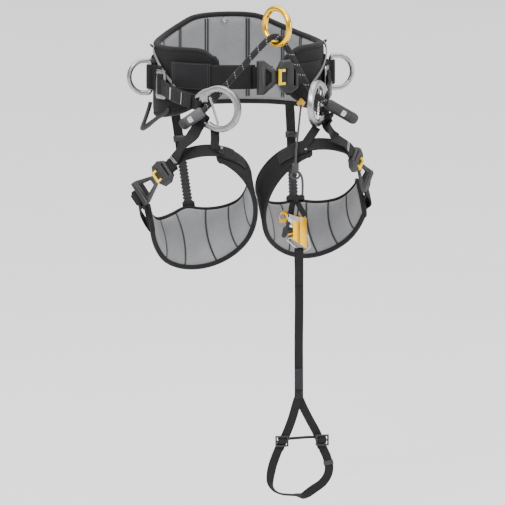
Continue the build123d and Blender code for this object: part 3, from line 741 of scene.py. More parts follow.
def make_waist():
    span = 2 * WAIST_TIP

    def angle_of(u):
        return -WAIST_TIP + span * u

    def flat(u, v):
        angle = angle_of(u)
        top, bottom = waist_edges(angle)
        return math.radians(angle) * WAIST_ARC, bottom + (top - bottom) * v

    lines = []
    for degrees in WAIST_CHANNELS:
        for gap in (-SEAM_HALF_GAP, SEAM_HALF_GAP):
            run = math.radians(degrees) * WAIST_ARC + gap
            lines.append([(run, -0.066), (run, 0.075)])

    def rim_distance(u, v):
        angle = angle_of(u)
        top, bottom = waist_edges(angle)
        height = top - bottom
        tip = math.radians(WAIST_TIP - abs(angle)) * TIP_ARC
        return max(0.0, min(v * height, (1 - v) * height, tip))

    def outer_face(u, v):
        angle = angle_of(u)
        top, bottom = waist_edges(angle)
        rise = pillow(rim_distance(u, v), RIM_ROUND)
        ripple = noise.noise(Vector((angle * 0.06, v * 2.2, 1.7))) * 0.7 * MM
        return waist_point(angle, 1.5 * MM + (SHELL - 1.5 * MM) * rise + ripple * rise,
                           bottom + (top - bottom) * v)

    def inner_face(u, v):
        angle = angle_of(u)
        top, bottom = waist_edges(angle)
        spot = flat(u, v)
        rise = min(pillow(rim_distance(u, v) - 2 * MM, 14 * MM),
                   pillow(line_distance(spot, lines) + 1.2 * MM, 11 * MM))
        soft = noise.noise(Vector((spot[0] * 22, spot[1] * 22, 4.2))) * 0.5 * MM
        return waist_point(angle, -(2.5 * MM + 7.5 * MM * rise + soft * rise), bottom + (top - bottom) * v)

    # mask of the painted shade in the waist pad's sewn channels
    def seam(u, v):
        return channel_depth(flat(u, v), lines, 2.4 * MM)

    def middle(offset):
        return lambda u, v: waist_point(angle_of(u), offset, outer_face(u, v)[2])

    shell = grid_slab("waist_shell_cloth", outer_face, middle(0.5 * MM), 200, 22, "shell_cloth", "saddle")
    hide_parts("waist_shell")
    pad = grid_slab("waist_pad_foam", middle(0.3 * MM), inner_face, 420, 44, "pad_mesh", "saddle", seam)
    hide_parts("waist_pad")
    make_waist_binding()


def make_waist_binding():
    angles = np.linspace(-WAIST_TIP, WAIST_TIP, 90)
    top = [waist_point(a, -2 * MM, waist_edges(a)[0]) for a in angles]
    bottom = [waist_point(a, -2 * MM, waist_edges(a)[1]) for a in angles[::-1]]
    line = smooth_line(top + bottom, 5 * MM, closed=True)
    outwards = np.array([[p[0] / WAIST_A ** 2, p[1] / WAIST_B ** 2, 0] for p in line])
    side, face = line_frames(line, outwards, closed=True)
    swept("waist_binding", line, side, face, round_outline(6.6 * MM, 5.0 * MM), "binding", "saddle",
          closed=True)


BUCKLE_PLACE = (43, -132.5, -1)     # millimetres, the front buckle's own origin
BUCKLE_TURN = 12            # degrees that the front buckle is turned about the upright axis


def make_belt():
    back = [waist_point(a, SHELL + 2.2 * MM) for a in np.linspace(-98, 98, 29)]
    belt = Tape("belt_webbing_back", back, Z, BELT_WEB, "saddle")
    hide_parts("belt_webbing")
    stitches("belt_stitches", belt, edge_rows(0.01, 0.99, 19 * MM), "saddle", belt.facing(14, Y),
             pitch=4.2 * MM, stitch=2.8 * MM)
    front = [waist_point(a, SHELL + 2.0 * MM) for a in np.linspace(-119, -181, 12)]
    right = Tape("front_webbing_tape", front, Z, BELT_WEB, "saddle")
    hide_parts("front_webbing")
    under = [waist_point(a, SHELL + 6.2 * MM) for a in np.linspace(-152, -178, 6)]
    Tape("front_webbing_return", under, Z, BELT_WEB - 2 * MM, "saddle")
    turn = math.radians(BUCKLE_TURN)
    run = np.array([math.cos(turn), math.sin(turn), 0])
    fill = [vec(*BUCKLE_PLACE) + run * x * MM + Y * y * MM
            for x, y in ((-46, 4.5), (-36, 3.5), (-22, 2.0), (-9, 1.5))]
    Tape("frame_webbing", fill, Z, 40 * MM, "saddle")
    left = [waist_point(a, SHELL + 2.0 * MM) for a in np.linspace(119, 143, 5)]
    left += path((84, -115, 0), (76, -126, -1))
    Tape("front_webbing_anchor", left, Z, BELT_WEB - 6 * MM, "saddle")
    sleeve_line = [waist_point(a, SHELL + 4.8 * MM) for a in np.linspace(-121, -152, 8)]
    sleeve = Tape("belt_sleeve_cloth", sleeve_line, Z, BELT_WEB + 4 * MM, "saddle", "sleeve_cloth", 2.0 * MM)
    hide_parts("belt_sleeve")
    out = sleeve.facing(4, waist_point(-136, 1) - waist_point(-136, 0))
    rows = edge_rows(0.03, 0.97, 22 * MM) + cross_rows((0.04, 0.09, 0.91, 0.96), 22 * MM)
    stitches("sleeve_stitches", sleeve, rows, "saddle", out)


# ---- hips -----------------------------------------------------------------------------------
TAB_DROP = -9 * MM          # middle of a side ring's tab, below the belt's own middle
BAR_WRAP = 6.3 * MM         # radius of the tab's fold round the ring's bar
FEED_WEB = 36 * MM          # width of the webbing at the hip adjuster


def make_hip(side):
    sign = SIDES[side]
    bar = vec(sign * 166, -20, -9)
    wrap = [waist_point(sign * 82, SHELL + 5.5 * MM), waist_point(sign * 90, SHELL + 5.5 * MM)]
    wrap = [p + Z * TAB_DROP for p in wrap]
    for degrees in (120, 60, 0, -60, -120):
        a = math.radians(degrees)
        wrap.append(bar + np.array([sign * math.cos(a), math.sin(a), 0]) * BAR_WRAP)
    wrap += [waist_point(sign * angle, SHELL + lift * MM) + Z * TAB_DROP
             for angle, lift in ((103, 5.5), (110, 5.2))]
    tab = Tape(f"{side}_ring_tab", wrap, Z, BELT_WEB, "saddle", spacing=1.5 * MM)
    if side == "right":
        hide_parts("d_ring_tabs")

    start = waist_point(sign * 96, SHELL + 5 * MM, -15 * MM)
    knee = waist_point(sign * 104, SHELL + 9 * MM, -19 * MM)
    Tape(f"{side}_hip_feed", [start, (start + knee) / 2, knee], Z, FEED_WEB, "saddle")
    hump = [waist_point(sign * a, off * MM, -20 * MM)
            for a, off in ((105.5, 10.5), (107, 14.5), (109, 17.5), (111, 17.5), (113, 14.5), (114.5, 10.5))]
    Tape(f"{side}_adjuster_wrap", hump, Z, FEED_WEB, "saddle", spacing=1.5 * MM)
    first = waist_point(sign * 109, SHELL + 9 * MM, -23 * MM)
    last = ring_spot(side, 46, 8, 3)
    middle = (first + last) / 2 + X * sign * 7 * MM
    quarter = first * 0.75 + last * 0.25 + X * sign * 4 * MM
    nearly = first * 0.2 + last * 0.8 + X * sign * 5 * MM
    hip = Tape(f"{side}_hip_strap", [first, quarter, middle, nearly, last], Z, LEG_WEB, "saddle")
    if side == "right":
        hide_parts("hip_straps")
    out = hip.facing(8, X * sign)
    doubled = [hip.spot(s, 0, out * 2.6 * MM)[0] for s in np.linspace(0.28, 0.9, 9)]
    layer = Tape(f"{side}_hip_strap_layer", doubled, Z, LEG_WEB - 1 * MM, "saddle")
    out = layer.facing(4, X * sign)
    edge = LEG_WEB / 2 - 3 * MM
    stitches(f"{side}_hip_stitches", layer, edge_rows(0.15, 0.72, edge), "saddle", out)
    tacks(f"{side}_hip_tacks", layer, (0.20, 0.23, 0.66), edge, "saddle", out)
    grip = ring_spot(side, 38.5, 5, 0)
    loop = []
    for degrees in range(-150, 211, 30):
        a = math.radians(degrees)
        loop.append(grip + (ring_spot(side, 38.5 + 6, 5, 0) - grip) * math.cos(a)
                    + (ring_spot(side, 38.5, 5, 8) - grip) * math.sin(a) * 1.1)
    Tape(f"{side}_ring_hitch", loop[:-1], Z, 17 * MM, "saddle", spacing=1.5 * MM)
    make_stay(side)
    make_corner_loop(side)


STAY_ENDS = {"right": (124.0, -22.0), "left": (137.0, -26.0)}


def make_stay(side):
    sign = SIDES[side]
    stop, stop_z = STAY_ENDS[side]
    points = []
    for share in np.linspace(-0.04, 1, 10):
        lift = 9.2 + (1.6 if share > 0.9 else 0)
        height = 40 + (stop_z - 40) * share
        points.append(waist_point(sign * (93 + (stop - 93) * share), lift * MM, height * MM))
    points[0] = waist_point(sign * 91.5, 6.5 * MM, 44 * MM)
    stay = Tape(f"{side}_stay", points, Z, 5.5 * MM, "saddle", "stay_tape", 2.0 * MM)
    if side == "right":
        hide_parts("stay_straps")


def make_corner_loop(side):
    """Small cord eye at the top corner of the belt, where the stay is tied."""
    sign = SIDES[side]
    centre = waist_point(sign * 90, SHELL + 3 * MM, 43 * MM)
    line = [centre + np.array([sign * math.cos(a) * 3.2, math.sin(a) * 5.5, math.cos(a) * 3.0]) * MM
            for a in np.linspace(0, 2 * math.pi, 20, endpoint=False)]
    cord_piece(f"{side}_corner_eye", np.array(line), 1.7 * MM, "binding", "saddle", closed=True, count=10)


def make_gear_loop():
    points = path((-158, 19, -60), (-160, 18, -68), (-167, 12, -85), (-176, 0, -101), (-178, -8, -104.5),
                  (-172, -20, -98), (-158, -40, -82), (-145, -57, -70), (-140, -60, -62))
    line = smooth_line(points, 2 * MM)
    fat = 1 + 0.25 * np.exp(-((np.arange(len(line)) / len(line) - 0.52) / 0.12) ** 2)
    loop = cord_piece("gear_loop_moulding", line, 3.3 * MM, "dark_rubber", "saddle", scale=fat * 1.12)
    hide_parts("gear_loop")


# ---- bridge ---------------------------------------------------------------------------------
def make_bridge_rope():
    line = cord_line(BRIDGE_ROUTE)
    rope = cord_piece("bridge_rope_braid", line, ROPE_D / 2, "bridge_cover", "saddle", count=24)
    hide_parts("bridge_rope")


SLEEVE_RADIUS = 10.3 * MM
WINDOW_POINTS = 24


def make_sleeves():
    for side, (near, far) in BRIDGE_SLEEVES.items():
        near, far = vec(*near), vec(*far)
        axis = unit(far - near)
        length = np.linalg.norm(far - near)
        profile = [(-0.002, 0.55), (0.02, 0.82), (0.07, 0.95), (0.12, 1.0), (0.70, 1.0), (0.74, 0.96)]
        body = [near + axis * length * s for s, _ in profile]
        scale = np.array([r for _, r in profile])
        paint = "sleeve_rubber" if side == "right" else "dark_rubber"
        sleeve = lathe(f"{side}_bridge_sleeve", body, scale * SLEEVE_RADIUS, paint, "saddle")
        if side == "right":
            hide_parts("bridge_sleeves")
        cap = [(0.73, 0.94), (0.75, 1.0), (0.86, 1.02), (0.94, 0.93), (0.985, 0.7), (1.0, 0.4)]
        lathe(f"{side}_sleeve_cap", [near + axis * length * s for s, _ in cap],
              np.array([r for _, r in cap]) * SLEEVE_RADIUS, "dark_rubber", "saddle")
        seen = unit(np.array([-0.3, -0.95, 0.1]))
        out = unit(seen - axis * seen.dot(axis))
        wide = np.cross(axis, out)
        window(f"{side}_sleeve_window", near + axis * length * 0.52 + out * 9.9 * MM, axis, wide, out)


def window(name, centre, axis, wide, out):
    """Raised square patch with rounded corners on a sleeve."""
    outline = []
    for k in range(WINDOW_POINTS):
        a = 2 * math.pi * k / WINDOW_POINTS
        c, s = math.cos(a), math.sin(a)
        outline.append((math.copysign(abs(c) ** 0.4, c), math.copysign(abs(s) ** 0.4, s)))
    verts = []
    rings = ((5.2, 0.0), (5.0, 0.9), (4.2, 1.0), (3.9, 0.5), (0.01, 0.5))
    for size, lift in rings:
        for p, q in outline:
            bend = -(q * size) ** 2 / 22
            verts.append(centre + (axis * p * size * 0.85 + wide * q * size + out * (lift + bend)) * MM)
    faces = tube_faces(len(rings), WINDOW_POINTS)
    return mesh_piece(name, verts, faces, "white_thread", "saddle")


def lathe(name, centres, radii, paint, body, count=32):
    """Turned shape along a straight line of centres."""
    centres = np.array(centres)
    fine = np.linspace(0, len(radii) - 1, (len(radii) - 1) * 4 + 1)
    line = spread(centres, len(fine))
    scale = np.interp(fine, np.arange(len(radii)), radii)
    return cord_piece(name, line, 1.0, paint, body, count=count, scale=scale)


# ---- legs -----------------------------------------------------------------------------------
CHANNEL_COUNT = 5
CHANNEL_FIRST = {"right": 38.0, "left": 56.0}      # degrees of the outermost sewn channel
CHANNEL_STEP = {"right": 28.0, "left": 25.0}       # degrees from one channel to the next
CHANNEL_LEAN = 5.0                                 # degrees that the ends lean out from the middle


def leg_channel(side, number):
    """One sewn channel of a leg pad: a shallow bow from the rear edge to the front edge."""
    middle = CHANNEL_FIRST[side] - CHANNEL_STEP[side] * number
    rear, front = leg_edges(side, middle)
    lean = CHANNEL_LEAN * (1 if middle > 0 else -1)
    return [(middle + lean * (2 * share - 1) ** 2, rear + (front - rear) * share)
            for share in np.linspace(0, 1, 9)]


def make_leg_pad(side):
    body = f"{side}_leg"
    first, last = LEG_PROFILE[side][0][0], LEG_PROFILE[side][-1][0]

    def angle_of(u):
        return first + (last - first) * u

    def flat(u, v):
        rear, front = leg_edges(side, angle_of(u))
        return math.radians(angle_of(u)) * LEG_ARC, rear + (front - rear) * v

    lines = [[(math.radians(a) * LEG_ARC, e) for a, e in leg_channel(side, number)]
             for number in range(CHANNEL_COUNT)]

    def rim_distance(u, v):
        angle = angle_of(u)
        rear, front = leg_edges(side, angle)
        ends = min(angle - first, last - angle)
        return max(0.0, min(v * (front - rear), (1 - v) * (front - rear), math.radians(ends) * LEG_ARC))

    def at(u, v, offset):
        rear, front = leg_edges(side, angle_of(u))
        return leg_point(side, angle_of(u), offset, rear + (front - rear) * v)

    def outer_face(u, v):
        rise = pillow(rim_distance(u, v), RIM_ROUND)
        fold = noise.noise(Vector((angle_of(u) * 0.05, v * 2.0, 3.1 + SIDES[side]))) * 0.6 * MM
        return at(u, v, 0.8 * MM + 2.0 * MM * rise + fold * rise)

    def inner_face(u, v):
        spot = flat(u, v)
        rise = min(pillow(rim_distance(u, v) - 2 * MM, 13 * MM),
                   pillow(line_distance(spot, lines) + 1.1 * MM, 12 * MM))
        soft = noise.noise(Vector((spot[0] * 24, spot[1] * 24, 8.5 + SIDES[side]))) * 0.5 * MM
        return at(u, v, -(1.5 * MM + 6.5 * MM * rise + soft * rise))

    shell = grid_slab(f"{side}_leg_shell_cloth", outer_face, lambda u, v: at(u, v, 0.3 * MM),
                      150, 18, "shell_cloth", body)
    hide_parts(f"{side}_leg_shell")
    # the last argument masks the painted shade in the leg pad's sewn channels
    pad = grid_slab(f"{side}_leg_pad_foam", lambda u, v: at(u, v, 0.1 * MM), inner_face,
                    260, 44, "pad_mesh", body, lambda u, v: channel_depth(flat(u, v), lines, 2.9 * MM))
    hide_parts(f"{side}_leg_pad")

    steps = np.linspace(0, 1, 70)
    rear = [at(u, 0, -1.2 * MM) for u in steps]
    front = [at(u, 1, -1.2 * MM) for u in steps[::-1]]
    line = smooth_line(rear + front, 5 * MM, closed=True)
    ring = []
    for p in line:
        q = p - LEG_CENTRES[side]
        ring.append(X * q[0] / LEG_A ** 2 + LEG_UP * q.dot(LEG_UP) / LEG_B ** 2)
    across, face = line_frames(line, np.array(ring), closed=True)
    swept(f"{side}_leg_binding", line, across, face, round_outline(4.6 * MM, 4.2 * MM), "binding", body,
          closed=True)


def make_leg_straps(side):
    body = f"{side}_leg"
    flat = buckle_across(side)
    level = flat * np.sign(flat.dot(LEG_AXIS))
    run = [buckle_point(side, 22, 1.5), buckle_point(side, 30, 1.5)]
    run += [leg_point(side, a, 5.5 * MM) for a in np.linspace(LEG_JOINED + 5, 210, 9)]
    top = Tape(f"{side}_leg_top_strap", run, [flat, flat] + [LEG_AXIS] * 9, LEG_WEB - 1 * MM, body)
    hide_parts(f"{side}_leg_strap")
    out = top.facing(30, LEG_UP)
    edge = LEG_WEB / 2 - 3.5 * MM
    stitches(f"{side}_top_strap_stitches", top, edge_rows(0.70, 0.99, edge), body, out)
    tacks(f"{side}_top_strap_tacks", top, (0.15, 0.17, 0.80, 0.815), edge, body, out)

    patch = [leg_point(side, a, 4.6 * MM, 0.002) for a in (-166, -158, -150, -142, -134)]
    cover = Tape(f"{side}_tip_patch", patch, LEG_AXIS, 26 * MM, body, "sleeve_cloth", 1.6 * MM)
    rows = edge_rows(0.04, 0.96, 11 * MM) + cross_rows((0.96,), 11 * MM)
    stitches(f"{side}_tip_stitches", cover, rows, body, cover.facing(4, LEG_UP))

    low = [leg_point(side, a, 4.4 * MM, 0.014) for a in (28, 36, 44, 52, 60, 68, 76, 82)]
    low += [buckle_point(side, -55, 2.5), buckle_point(side, -43, 4.0), buckle_point(side, -34, 4.4),
            buckle_point(side, -28, 2.2), buckle_point(side, -27, -0.6), buckle_point(side, -32, -1.2)]
    adjust = Tape(f"{side}_adjust_run", low, [LEG_AXIS] * 8 + [level] * 6, LEG_WEB - 1 * MM, body,
                  spacing=2 * MM)
    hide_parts(f"{side}_adjust_strap")
    tail = [buckle_point(side, -33, 7), buckle_point(side, -47, 8), leg_point(side, 82, 15 * MM, 0.012)]
    tail += [leg_point(side, a, off * MM, 0.010) for a, off in ((74, 13), (64, 10), (54, 8.5), (44, 8))]
    Tape(f"{side}_strap_return", tail, [level] * 2 + [LEG_AXIS] * 5, LEG_WEB - 2 * MM, body)
    stub = [buckle_point(side, -42, 9), buckle_point(side, -49, 10.5), buckle_point(side, -55, 8),
            buckle_point(side, -59, 3)]
    Tape(f"{side}_strap_tail", stub, flat, LEG_WEB - 4 * MM, body, thick=3 * MM)


def make_risers(side):
    sign = SIDES[side]
    body = f"{side}_leg"
    flat = buckle_across(side)
    flat = flat * np.sign(flat.dot(LEG_AXIS))
    wall = X * sign * -0.66 - Z * 0.6
    wrap = [ring_spot(side, 34, -27, 6), ring_spot(side, 29, -19, 7), ring_spot(side, 25.5, -13.5, 0),
            ring_spot(side, 29, -18, -7.5), ring_spot(side, 35, -27, -8.5)]
    Tape(f"{side}_riser_wrap", wrap, wall, 11 * MM, "saddle", spacing=1.5 * MM)
    outer = [ring_spot(side, 33, -24, -9.5), ring_spot(side, 37, -31, -10)]
    if side == "left":
        outer.append(ring_spot(side, 39.5, -41, -7))
    if side == "right":
        outer += path((-129, -208, -94), (-147, -214, -108), (-156, -211, -125))
    else:
        outer += [leg_point(side, LEG_JOINED + a, off * MM) for a, off in ((22, 24), (14, 19), (6, 13))]
    outer += [buckle_point(side, 36, -0.5), buckle_point(side, 27, -0.5)]
    across = [wall] * 2 + [LEG_AXIS] * (len(outer) - 4) + [flat] * 2
    strap = Tape(f"{side}_front_riser", outer, across, RISER_WEB + 2 * MM, body, spacing=2 * MM)
    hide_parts(f"{side}_front_risers")
    tacks(f"{side}_riser_tacks", strap, (0.80, 0.825), RISER_WEB / 2, body, strap.facing(40, LEG_UP))
    start = {"right": ring_spot(side, 14, -33, 8), "left": ring_spot(side, 4, -44, 2)}[side]
    end_angle = {"right": 187.0, "left": 196.0}[side]
    inner = [start, (start * 0.5 + leg_point(side, end_angle, 9 * MM) * 0.5) + Y * -2 * MM,
             leg_point(side, end_angle, 9 * MM), leg_point(side, end_angle + 9, 8 * MM, 0.004)]
    Tape(f"{side}_inner_riser", inner, [X, X, X * 0.9 + LEG_AXIS * 0.3, X * 0.5 + LEG_AXIS], 16 * MM, body)


ELASTIC_RIBS = 14
RIB_STEPS = 6


def make_rear_riser(side):
    sign = SIDES[side]
    low = leg_point(side, 0, -2 * MM, -68 * MM) + X * sign * -6 * MM
    top = vec(sign * 106, 52, -81)
    slope = low - top
    start = top - slope * 0.05 + Y * 3 * MM
    upper = Tape(f"{side}_rear_riser", [start, top + slope * 0.2, top + slope * 0.5], X, 17 * MM, "saddle")
    if side == "right":
        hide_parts("rear_risers")
    face = np.cross(unit(slope), X)
    face = face if face[1] < 0 else -face

    def span_of(first, last, lift):
        return [top + slope * share + face * lift * MM for share in (first, last)]

    Tape(f"{side}_riser_fold", span_of(0.05, 0.36, 3), X, 16 * MM, "saddle")
    keep = Tape(f"{side}_riser_keeper", span_of(0.27, 0.33, 2), X, 22 * MM, "saddle", "dark_plastic", 8 * MM)
    if side == "right":
        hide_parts("riser_sliders")
    span = np.linspace(0.46, 0.965, ELASTIC_RIBS * RIB_STEPS + 1)
    line = np.array([top + slope * share for share in span])
    scale = [0.76 + 0.30 * abs(math.sin(math.pi * i / RIB_STEPS)) for i in range(len(span))]
    across, out = line_frames(line, X)
    outline = tape_outline(17 * MM, 4.8 * MM, 0.1)
    elastic = swept(f"{side}_elastic", line, across, out, outline, "ribbed_elastic", None, scale=scale)
    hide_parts(f"{side}_elastic_riser")
    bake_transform(elastic)
    tab = Tape(f"{side}_riser_tab", span_of(0.955, 1.01, 1), X, 23 * MM, f"{side}_leg", thick=4.2 * MM)
    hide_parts(f"{side}_riser_tab")


# ---- ascender and foot strap ----------------------------------------------------------------
def make_accessory_cord():
    line = cord_line(CORD_ROUTE)
    cord = cord_piece("accessory_cord_braid", line, CORD_D / 2, "grey_cord", "ascent_kit", count=12)
    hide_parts("accessory_cord")


def kit_path(*points):
    """Path whose depths count from the plane that the ascent kit hangs in."""
    return path(*[(x, KIT_Y + y, z) for x, y, z in points])


def make_knot():
    """Stopper knot: three wraps round the standing cord, then a loop."""
    centre = vec(55, KIT_Y, -152)
    line = []
    for i in range(90):
        a = 2 * math.pi * i / 24
        rise = 6.5 - 13 * i / 89
        line.append(centre + vec(4.6 * math.cos(a), 4.6 * math.sin(a), rise))
    knot = cord_piece("cord_knot_wraps", np.array(line), 2.0 * MM, "grey_cord", "ascent_kit", count=10)
    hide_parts("cord_knot")
    core = [centre + Z * 9 * MM, centre, centre - Z * 11 * MM]
    cord_piece("cord_knot_core", smooth_line(core, 2 * MM), 3.0 * MM, "grey_cord", "ascent_kit", count=12)
    hook = kit_path((52, 0, -160), (56, -3, -158), (62, -2, -162), (66.5, 0, -170), (68, 0, -180),
                    (68, 0, -192), (67.5, 0, -207))
    loop = cord_piece("cord_loop_right", smooth_line(hook, 2 * MM), 2.1 * MM, "grey_cord", "ascent_kit",
                      count=10)
    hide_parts("cord_loop")
    eye = [centre + vec(7.5 * math.cos(a), 0.5, -14 + 6.5 * math.sin(a))
           for a in np.linspace(0, 2 * math.pi, 24, endpoint=False)]
    cord_piece("cord_loop_eye", np.array(eye), 2.0 * MM, "grey_cord", "ascent_kit", closed=True, count=10)
    legs = [kit_path((50, 3, -165), (47, 3, -180), (47, 3, -206)),
            kit_path((54, 3, -166), (53.5, 3, -180), (52, 3, -206))]
    for i, points in enumerate(legs):
        line = smooth_line(points, 1 * MM)
        bead = 0.85 + 0.22 * np.abs(np.sin(np.arange(len(line)) * math.pi / 4))
        cord_piece(f"cord_loop_ribbed_{i}", line, 2.4 * MM, "ribbed_elastic", "ascent_kit", count=10,
                   scale=bead)


def make_keeper():
    """Flat webbing tied in a bow, with its two tails down to the ascender."""
    for sign in (-1, 1):
        points = kit_path((55, -2, -208), (55 + sign * 8, -5, -205), (55 + sign * 15, -3, -207),
                          (55 + sign * 15, 2, -211), (55 + sign * 7, 3, -211), (55, 1, -209))
        name = f"keeper_loop_{'left' if sign > 0 else 'right'}"
        Tape(name, points, Y * 0.5 + Z, 9 * MM, "ascent_kit", thick=1.8 * MM, spacing=1.5 * MM)
    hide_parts("webbing_keeper")
    band = [vec(55 + 4.5 * math.cos(a), KIT_Y - 0.5 + 6 * math.sin(a), -208.5)
            for a in np.linspace(0, 2 * math.pi, 13)[:-1]]
    Tape("keeper_band", band + band[:1], Z, 9 * MM, "ascent_kit", thick=1.8 * MM, spacing=1.5 * MM)
    left = kit_path((52, -1, -211), (49, 0, -220), (48, 4, -232), (48, 8, -242))
    tails = Tape("keeper_tail_in", left, X, 11 * MM, "ascent_kit", thick=1.8 * MM)
    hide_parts("ascender_webbing")
    right = kit_path((57, -1, -211), (61, -5, -221), (67, -7, -232), (71, -8, -239))
    Tape("keeper_tail_out", right, X + Z * 0.4, 10 * MM, "ascent_kit", thick=1.8 * MM)
    strand = kit_path((60, 2, -206), (61, 4, -222), (60, 6, -240))
    cord_piece("keeper_strand", smooth_line(strand, 2 * MM), 1.6 * MM, "grey_cord", "ascent_kit", count=8)


def make_ascender_details():
    """Top plate, inner plates, rivets, the cam's catch and the rim of the lug's hole."""
    top = [(40, -233.5), (64, -242), (63.5, -248), (52, -247), (41, -241)]
    flat_plate("ascender_top_plate", top, KIT_Y - 12.6, 1.4, "dark_metal", "ascent_kit")
    plates = []
    for y, z in ((KIT_Y + 8.2, -238), (KIT_Y - 2.5, -241)):
        outline = [(42, z), (58, z - 7), (66, z - 13), (64, z - 18), (54, z - 16), (46, z - 12), (41, z - 6)]
        plates.append(flat_plate(f"cam_plate_{len(plates)}", outline, y, 1.8, "pale_steel", "ascent_kit"))
    for i, (x, z) in enumerate(((64, -252), (64, -276))):
        rivet(f"frame_rivet_{i}", vec(x, KIT_Y + 13.2, z), Y, 3.4, 1.2)
    catch = [(33, -262), (37, -258), (41, -262), (41, -270), (38, -276), (33, -279), (30, -276), (32, -270)]
    flat_plate("cam_catch", catch, KIT_Y + 1.5, 8.0, "black_cam", "ascender_cam")
    ring = [vec(34 + 6.6 * math.cos(a), KIT_Y + 10.2, -242 + 6.6 * math.sin(a))
            for a in np.linspace(0, 2 * math.pi, 28)[:-1]]
    cord_piece("lug_hole_rim", np.array(ring), 0.8 * MM, "gold_frame", "ascent_kit", closed=True, count=8)


def flat_plate(name, outline, y, thick, paint, body):
    """Bevelled plate in an upright XZ plane, from an outline in millimetres."""
    middle = np.mean(np.array(outline), axis=0)
    verts = []
    half = thick / 2
    rings = ((0.9, -half), (1.0, -half + 0.5), (1.0, half - 0.5), (0.9, half))
    for size, depth in rings:
        for p, q in outline:
            a = middle + (np.array((p, q)) - middle) * size
            verts.append(vec(a[0], y + depth, a[1]))
    faces = tube_faces(len(rings), len(outline))
    piece = mesh_piece(name, verts, faces, paint, body, smooth=False)
    soften(piece, 0.4 * MM)
    return piece


def rivet(name, centre, out, radius, rise):
    profile = [(0.0, 1.0), (0.5, 0.98), (0.8, 0.8), (1.0, 0.3)]
    return lathe(name, [centre + out * s * rise * MM for s, _ in profile],
                 np.array([r for _, r in profile]) * radius * MM, "bright_steel", "ascent_kit", 20)


def make_foot_strap():
    body = "foot_step"
    y, x = KIT_Y + 7.5, 63.0
    top = path((x, y + 3.5, -312), (x, y + 3.6, -306), (x, y + 3, -301.5), (x, y, -299.2),
               (x, y - 3, -301.5), (x, y - 3.4, -306), (x, y - 3, -314), (x, y - 2.4, -330),
               (x, y - 2.4, -366))
    Tape("foot_strap_fold", top, X, FOOT_WEB - 0.5 * MM, body, spacing=2 * MM)
    main = path((x, y + 3.4, -306), (x, y + 2, -322), (x, y, -340), (x + 0.4, y, -400),
                (x - 0.3, y, -470), (x, y, -540), (x, y, -574))
    strap = Tape("foot_strap_run", main, X, FOOT_WEB, body)
    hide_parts("foot_strap")
    edge = FOOT_WEB / 2 - 2.2 * MM
    diagonals = [((0.945, -edge), (0.985, edge)), ((0.945, edge), (0.985, -edge))]
    rows = cross_rows((0.945, 0.985), edge) + diagonals + edge_rows(0.945, 0.985, edge)
    stitches("foot_strap_box_stitch", strap, rows, body, strap.facing(30, -Y), "dark_thread", 2.2 * MM,
             1.8 * MM)
    label = Tape("strap_label_blank", path((x, y - 2.2, -517), (x, y - 2.2, -554)), X, 15.0 * MM, body,
                 "label_cloth", 1.4 * MM)
    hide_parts("strap_label")
    border = cross_rows((0.05, 0.95), 6.3 * MM) + edge_rows(0.05, 0.95, 6.3 * MM)
    stitches("label_border", label, border, body, label.facing(3, -Y), "dark_thread", 1.9 * MM, 1.4 * MM,
             0.35 * MM)

    left = path((x - 1, y, -570), (x - 5, y, -582), (51, y, -606), (41, y, -632), (33, y, -648),
                (27, y, -662))
    limb = Tape("foot_branch_right", left, X + Z * 0.35, FOOT_WEB, body)
    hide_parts("foot_branches")
    right = path((x + 1, y + 2.5, -570), (x + 7, y + 2.5, -584), (82, y + 2, -608), (95, y + 2, -632),
                 (102, y + 2, -650), (105, y + 2, -662))
    Tape("foot_branch_left", right, X - Z * 0.5, FOOT_WEB - 1 * MM, body)
    loop = path((27, y, -659), (20, y, -676), (14, y, -694), (10.5, y, -714), (12, y, -727),
                (19, y, -737), (31, y, -743), (46, y, -745), (60, y, -746), (69, y, -748), (78, y, -744),
                (90, y, -736), (105, y, -726), (115, y, -713), (118.5, y, -698), (115, y + 1, -680),
                (110, y + 2, -668), (105, y + 2, -656))
    across = [X + Z * 0.35, X + Z * 0.3, X + Z * 0.2, X, X + Y * 0.4, X * 0.6 + Y, Y + X * 0.1,
              Y, Y, Y * 0.9 + Z * 0.5, Z * 0.8 + X * -0.4 + Y * 0.3, Z * 0.9 - X * 0.5,
              -X + Z * 0.9, -X + Z * 0.2, -X, -X - Z * 0.1, -X + Z * 0.2, -X + Z * 0.4]
    step = Tape("foot_loop_tape", loop, across, FOOT_WEB, body)
    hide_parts("foot_loop")
    keeper = [step.spot(s, 0, 0)[0] for s in (0.845, 0.86, 0.875)]
    Tape("foot_loop_keeper", keeper, -X, FOOT_WEB + 2.5 * MM, body, "dark_plastic", 4.6 * MM)
    for i, cx in enumerate((31.0, 105.0)):
        bar = path((cx, y - 1.2, -640), (cx, y - 3.2, -642.5), (cx, y - 6.6, -645), (cx, y - 7.0, -647),
                   (cx, y - 6.6, -649), (cx, y - 3.2, -651.5), (cx, y - 1.2, -654))
        Tape(f"slider_webbing_{i}", bar, X, FOOT_WEB - 1.5 * MM, "foot_adjuster", thick=1.8 * MM,
             spacing=1.5 * MM)
    cross = path((36, y + 4, -646), (42, y + 9, -645), (54, y + 12, -644.6), (68, y + 12.5, -644),
                 (84, y + 12, -643.4), (95, y + 9, -643), (101, y + 5, -643))
    instep = Tape("instep_strap_tape", cross, Y, FOOT_WEB - 3 * MM, "foot_adjuster", thick=3.2 * MM)
    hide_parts("instep_strap")


# ---- hard pieces kept from CAD --------------------------------------------------------------
def soften(piece, width, segments=2):
    """Rolls the sharp edges so that they catch light, and shades the rest smoothly."""
    bevel = piece.modifiers.new("edge", "BEVEL")
    bevel.width = width
    bevel.segments = segments
    bevel.limit_method = "ANGLE"
    bevel.angle_limit = math.radians(28)
    bevel.harden_normals = True
    for polygon in piece.data.polygons:
        polygon.use_smooth = True


WELD_GAP = 0.02 * MM


